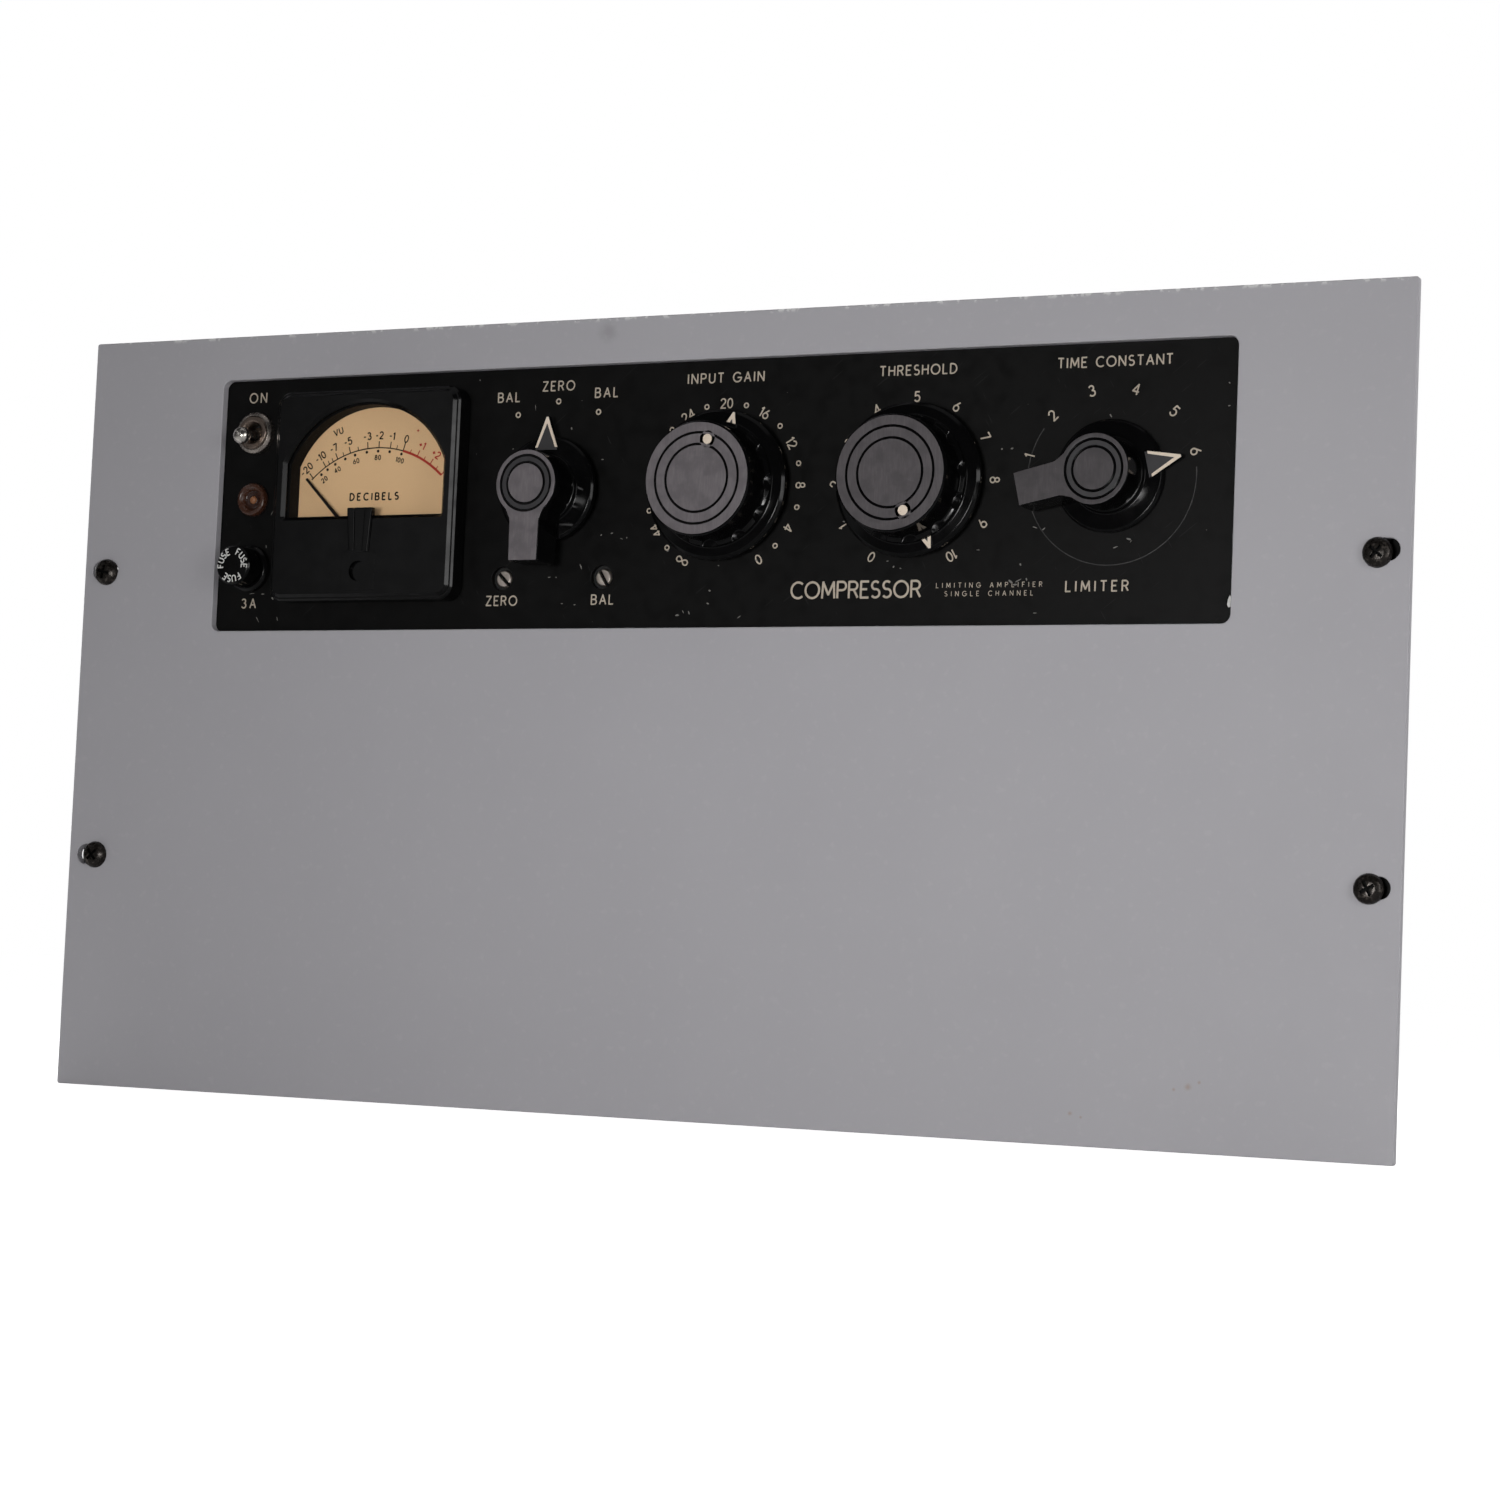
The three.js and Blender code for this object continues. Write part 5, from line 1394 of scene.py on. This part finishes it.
def filter_capacitor(name, node):
    """Drawn aluminium can with a rolled end and a mounting ring."""
    a, b, place = extent(node)
    ring_radius = (b.x - a.x) / 2
    r = ring_radius - 5
    ring = turned([(0, a.y), (ring_radius, a.y, 0.3), (ring_radius, a.y + 1.5, 0.4), (0, a.y + 1.5)], place)
    can = turned([
        (r - 0.3, a.y + 1.2), (r, a.y + 2, 0.5), (r, a.y + 8, 0.8), (r - 0.9, a.y + 9.5, 0.8),
        (r, a.y + 11, 0.8), (r, b.y - 1.0, 0.9), (r - 1, b.y, 0.5), (r - 2, b.y - 1, 0.6),
        (r - 3.2, b.y - 1.4, 1), (0, b.y - 1.2),
    ], place, 96)
    vent = disc(place, 3, b.y - 1.5, b.y - 0.5, 0.3, 32)
    reach = (r + 2.6) * 0.71
    screws = [
        pan_head(place[0] + dx * reach, place[1] + dz * reach, a.y + 1.4, 1.7, 1.2)
        for dx, dz in ((-1, -1), (1, -1), (1, 1), (-1, 1))
    ]
    parts = [(ring, pot_metal), (can, can_metal), (vent, gloss), (screws, nickel)]
    piece(name, parts, node)


filter_capacitor("filter_can_1", "filter_capacitor_1")
filter_capacitor("filter_can_2", "filter_capacitor_2")


def terminal_strip():
    """Barrier strip: moulded base and walls, a plated tab and two screws in each bay."""
    a, b, (x, z) = extent("audio_terminal_strip")
    bays, pitch = 7, 11
    half_z = (b.z - a.z) / 2
    moulding = [prism(inset(a, b, 0, 1.5), a.y, a.y + 6, 0.4)]
    for i in range(bays + 1):
        moulding.append(block((x + (i - bays / 2) * pitch, z), 0.9, half_z, a.y + 5, b.y, 0.35))
    plated = []
    for i in range(bays):
        bay = x + (i + 0.5 - bays / 2) * pitch
        plated.append(block((bay, z), 3.6, half_z - 1.5, a.y + 5.6, a.y + 6.6, 0.25))
        plated += [pan_head(bay, z + dz, a.y + 6.5, 2.9, 2.0) for dz in (-5, 5)]
    plated += [pan_head(end, z, a.y + 5.9, 2.4, 1.6) for end in (a.x + 4, b.x - 4)]
    piece("audio_barrier_strip", [(moulding, gloss), (plated, nickel)], "audio_terminal_strip")


def mains_inlet():
    a, b, (x, z) = extent("mains_inlet")
    flange = prism(inset(a, b, 0, 6), a.y, a.y + 2.5, 0.5)
    collar = turned([
        (0, a.y + 1), (13.5, a.y + 1), (13.5, b.y, 0.6), (11.6, b.y, 0.4), (11.6, a.y + 4, 0.4),
        (0, a.y + 4),
    ], (x, z))
    blades = [block((x + dx, z), 0.8, 3.2, a.y + 2, a.y + 14) for dx in (-6.3, 6.3)]
    screws = [pan_head(x + dx, z, a.y + 2.4, 1.9, 1.2) for dx in (-16.4, 16.4)]
    parts = [([flange, collar], gloss), ([*blades, *screws], nickel)]
    piece("mains_inlet_socket", parts, "mains_inlet")


terminal_strip()
mains_inlet()

# ---- floor, light and camera: in metres ----


def floor():
    """Pale floor; away from the object it glows white, so that it meets the backdrop without an edge."""
    bm = bmesh.new()
    bmesh.ops.create_circle(bm, cap_ends=True, radius=30, segments=64)
    obj = bpy.data.objects.new("floor", meshed(bm, "floor"))
    f = Finish("floor", roughness=0.9, shine=0.1, Emission_Color=(1, 1, 1, 1))
    away = f.add("VectorMath", {0: f.place}, operation="LENGTH").outputs["Value"]
    far = f.step(away, 0.35, 1.6)
    f.colour(f.mix(far, (0.6, 0.6, 0.6), (0, 0, 0)))
    seen = f.nodes.new("ShaderNodeLightPath").outputs["Is Camera Ray"]
    near = f.math("ADD", f.times(seen, 0.84), 0.06)
    f.links.new(f.math("MAXIMUM", f.times(far, seen), near), f.shader.inputs["Emission Strength"])
    obj.data.materials.append(f.material)
    bpy.context.scene.collection.objects.link(obj)


def lamp_panel(name, place, aim, size, power, colour=(1, 1, 1), spread=180):
    light = bpy.data.lights.new(name, "AREA")
    light.spread = math.radians(spread)
    light.shape = "RECTANGLE"
    light.size, light.size_y = size
    light.energy = power
    light.color = colour
    obj = bpy.data.objects.new(name, light)
    bpy.context.scene.collection.objects.link(obj)
    obj.location = place
    obj.rotation_mode = "QUATERNION"
    obj.rotation_quaternion = (Vector(aim) - Vector(place)).to_track_quat("-Z", "Y")


def world_light():
    """White to the camera, a soft grey to everything else."""
    world = bpy.data.worlds.new("studio")
    bpy.context.scene.world = world
    world.use_nodes = True
    nodes, links = world.node_tree.nodes, world.node_tree.links
    seen = nodes["Background"]
    seen.inputs["Color"].default_value = (1, 1, 1, 1)
    fill = nodes.new("ShaderNodeBackground")
    fill.inputs["Color"].default_value = (0.97, 0.98, 1.0, 1)
    fill.inputs["Strength"].default_value = 0.025
    ray = nodes.new("ShaderNodeLightPath")
    mix = nodes.new("ShaderNodeMixShader")
    links.new(ray.outputs["Is Camera Ray"], mix.inputs[0])
    links.new(fill.outputs[0], mix.inputs[1])
    links.new(seen.outputs[0], mix.inputs[2])
    links.new(mix.outputs[0], nodes["World Output"].inputs["Surface"])


def camera():
    data = bpy.data.cameras.new("camera")
    data.sensor_width = 36
    data.lens = 80.911
    data.clip_start, data.clip_end = 0.05, 50
    obj = bpy.data.objects.new("camera", data)
    bpy.context.scene.collection.objects.link(obj)
    azimuth, elevation, roll = (math.radians(d) for d in (25.3403, -3.9341, 2.4194))
    level = math.cos(elevation)
    back = Vector((math.sin(azimuth) * level, -math.cos(azimuth) * level, math.sin(elevation)))
    right = (-back).cross(Vector((0, 0, 1))).normalized()
    up = right.cross(-back)
    rolled_right = right * math.cos(roll) + up * math.sin(roll)
    rolled_up = up * math.cos(roll) - right * math.sin(roll)
    aim, distance = origin + Vector((25.92, 0, 121.19)) * MM, 1.094
    place = aim + back * distance
    rotation = Matrix((rolled_right, rolled_up, back)).transposed().to_4x4()
    obj.matrix_world = Matrix.Translation(place) @ rotation
    bpy.context.scene.camera = obj


floor()
for lamp_settings in (  # name, place, aim, size, watts, and for the key its colour and spread
    ("key", (0.22, -1.1, 0.07), (0.05, 0, 0.12), (0.3, 0.14), 1.6, (1.0, 0.995, 0.99), 100),
    ("glow", (-0.66, -1.1, 0.33), (0, 0, 0.15), (0.3, 0.4), 0.14),
    ("fill", (-1.9, -1.5, 1.5), (0, 0, 0.12), (0.8, 0.8), 1.5),
    ("side", (1.12, -0.72, 0.24), (0, 0, 0.15), (0.34, 0.6), 3.2),
    ("top", (0.1, -0.5, 1.7), (0.1, 0, 0.1), (1.2, 0.8), 0.8),
    ("back", (-0.5, 2.0, 1.2), (0, 0, 0.12), (2.6, 1.6), 62),
    ("back_right", (1.9, 0.9, 0.7), (0.1, 0.05, 0.12), (1.0, 1.2), 16),
    ("back_left", (-1.9, 0.8, 0.7), (-0.1, 0.05, 0.12), (1.0, 1.2), 16),
):
    lamp_panel(*lamp_settings)
world_light()
camera()
bpy.context.scene.view_settings.view_transform = "Standard"
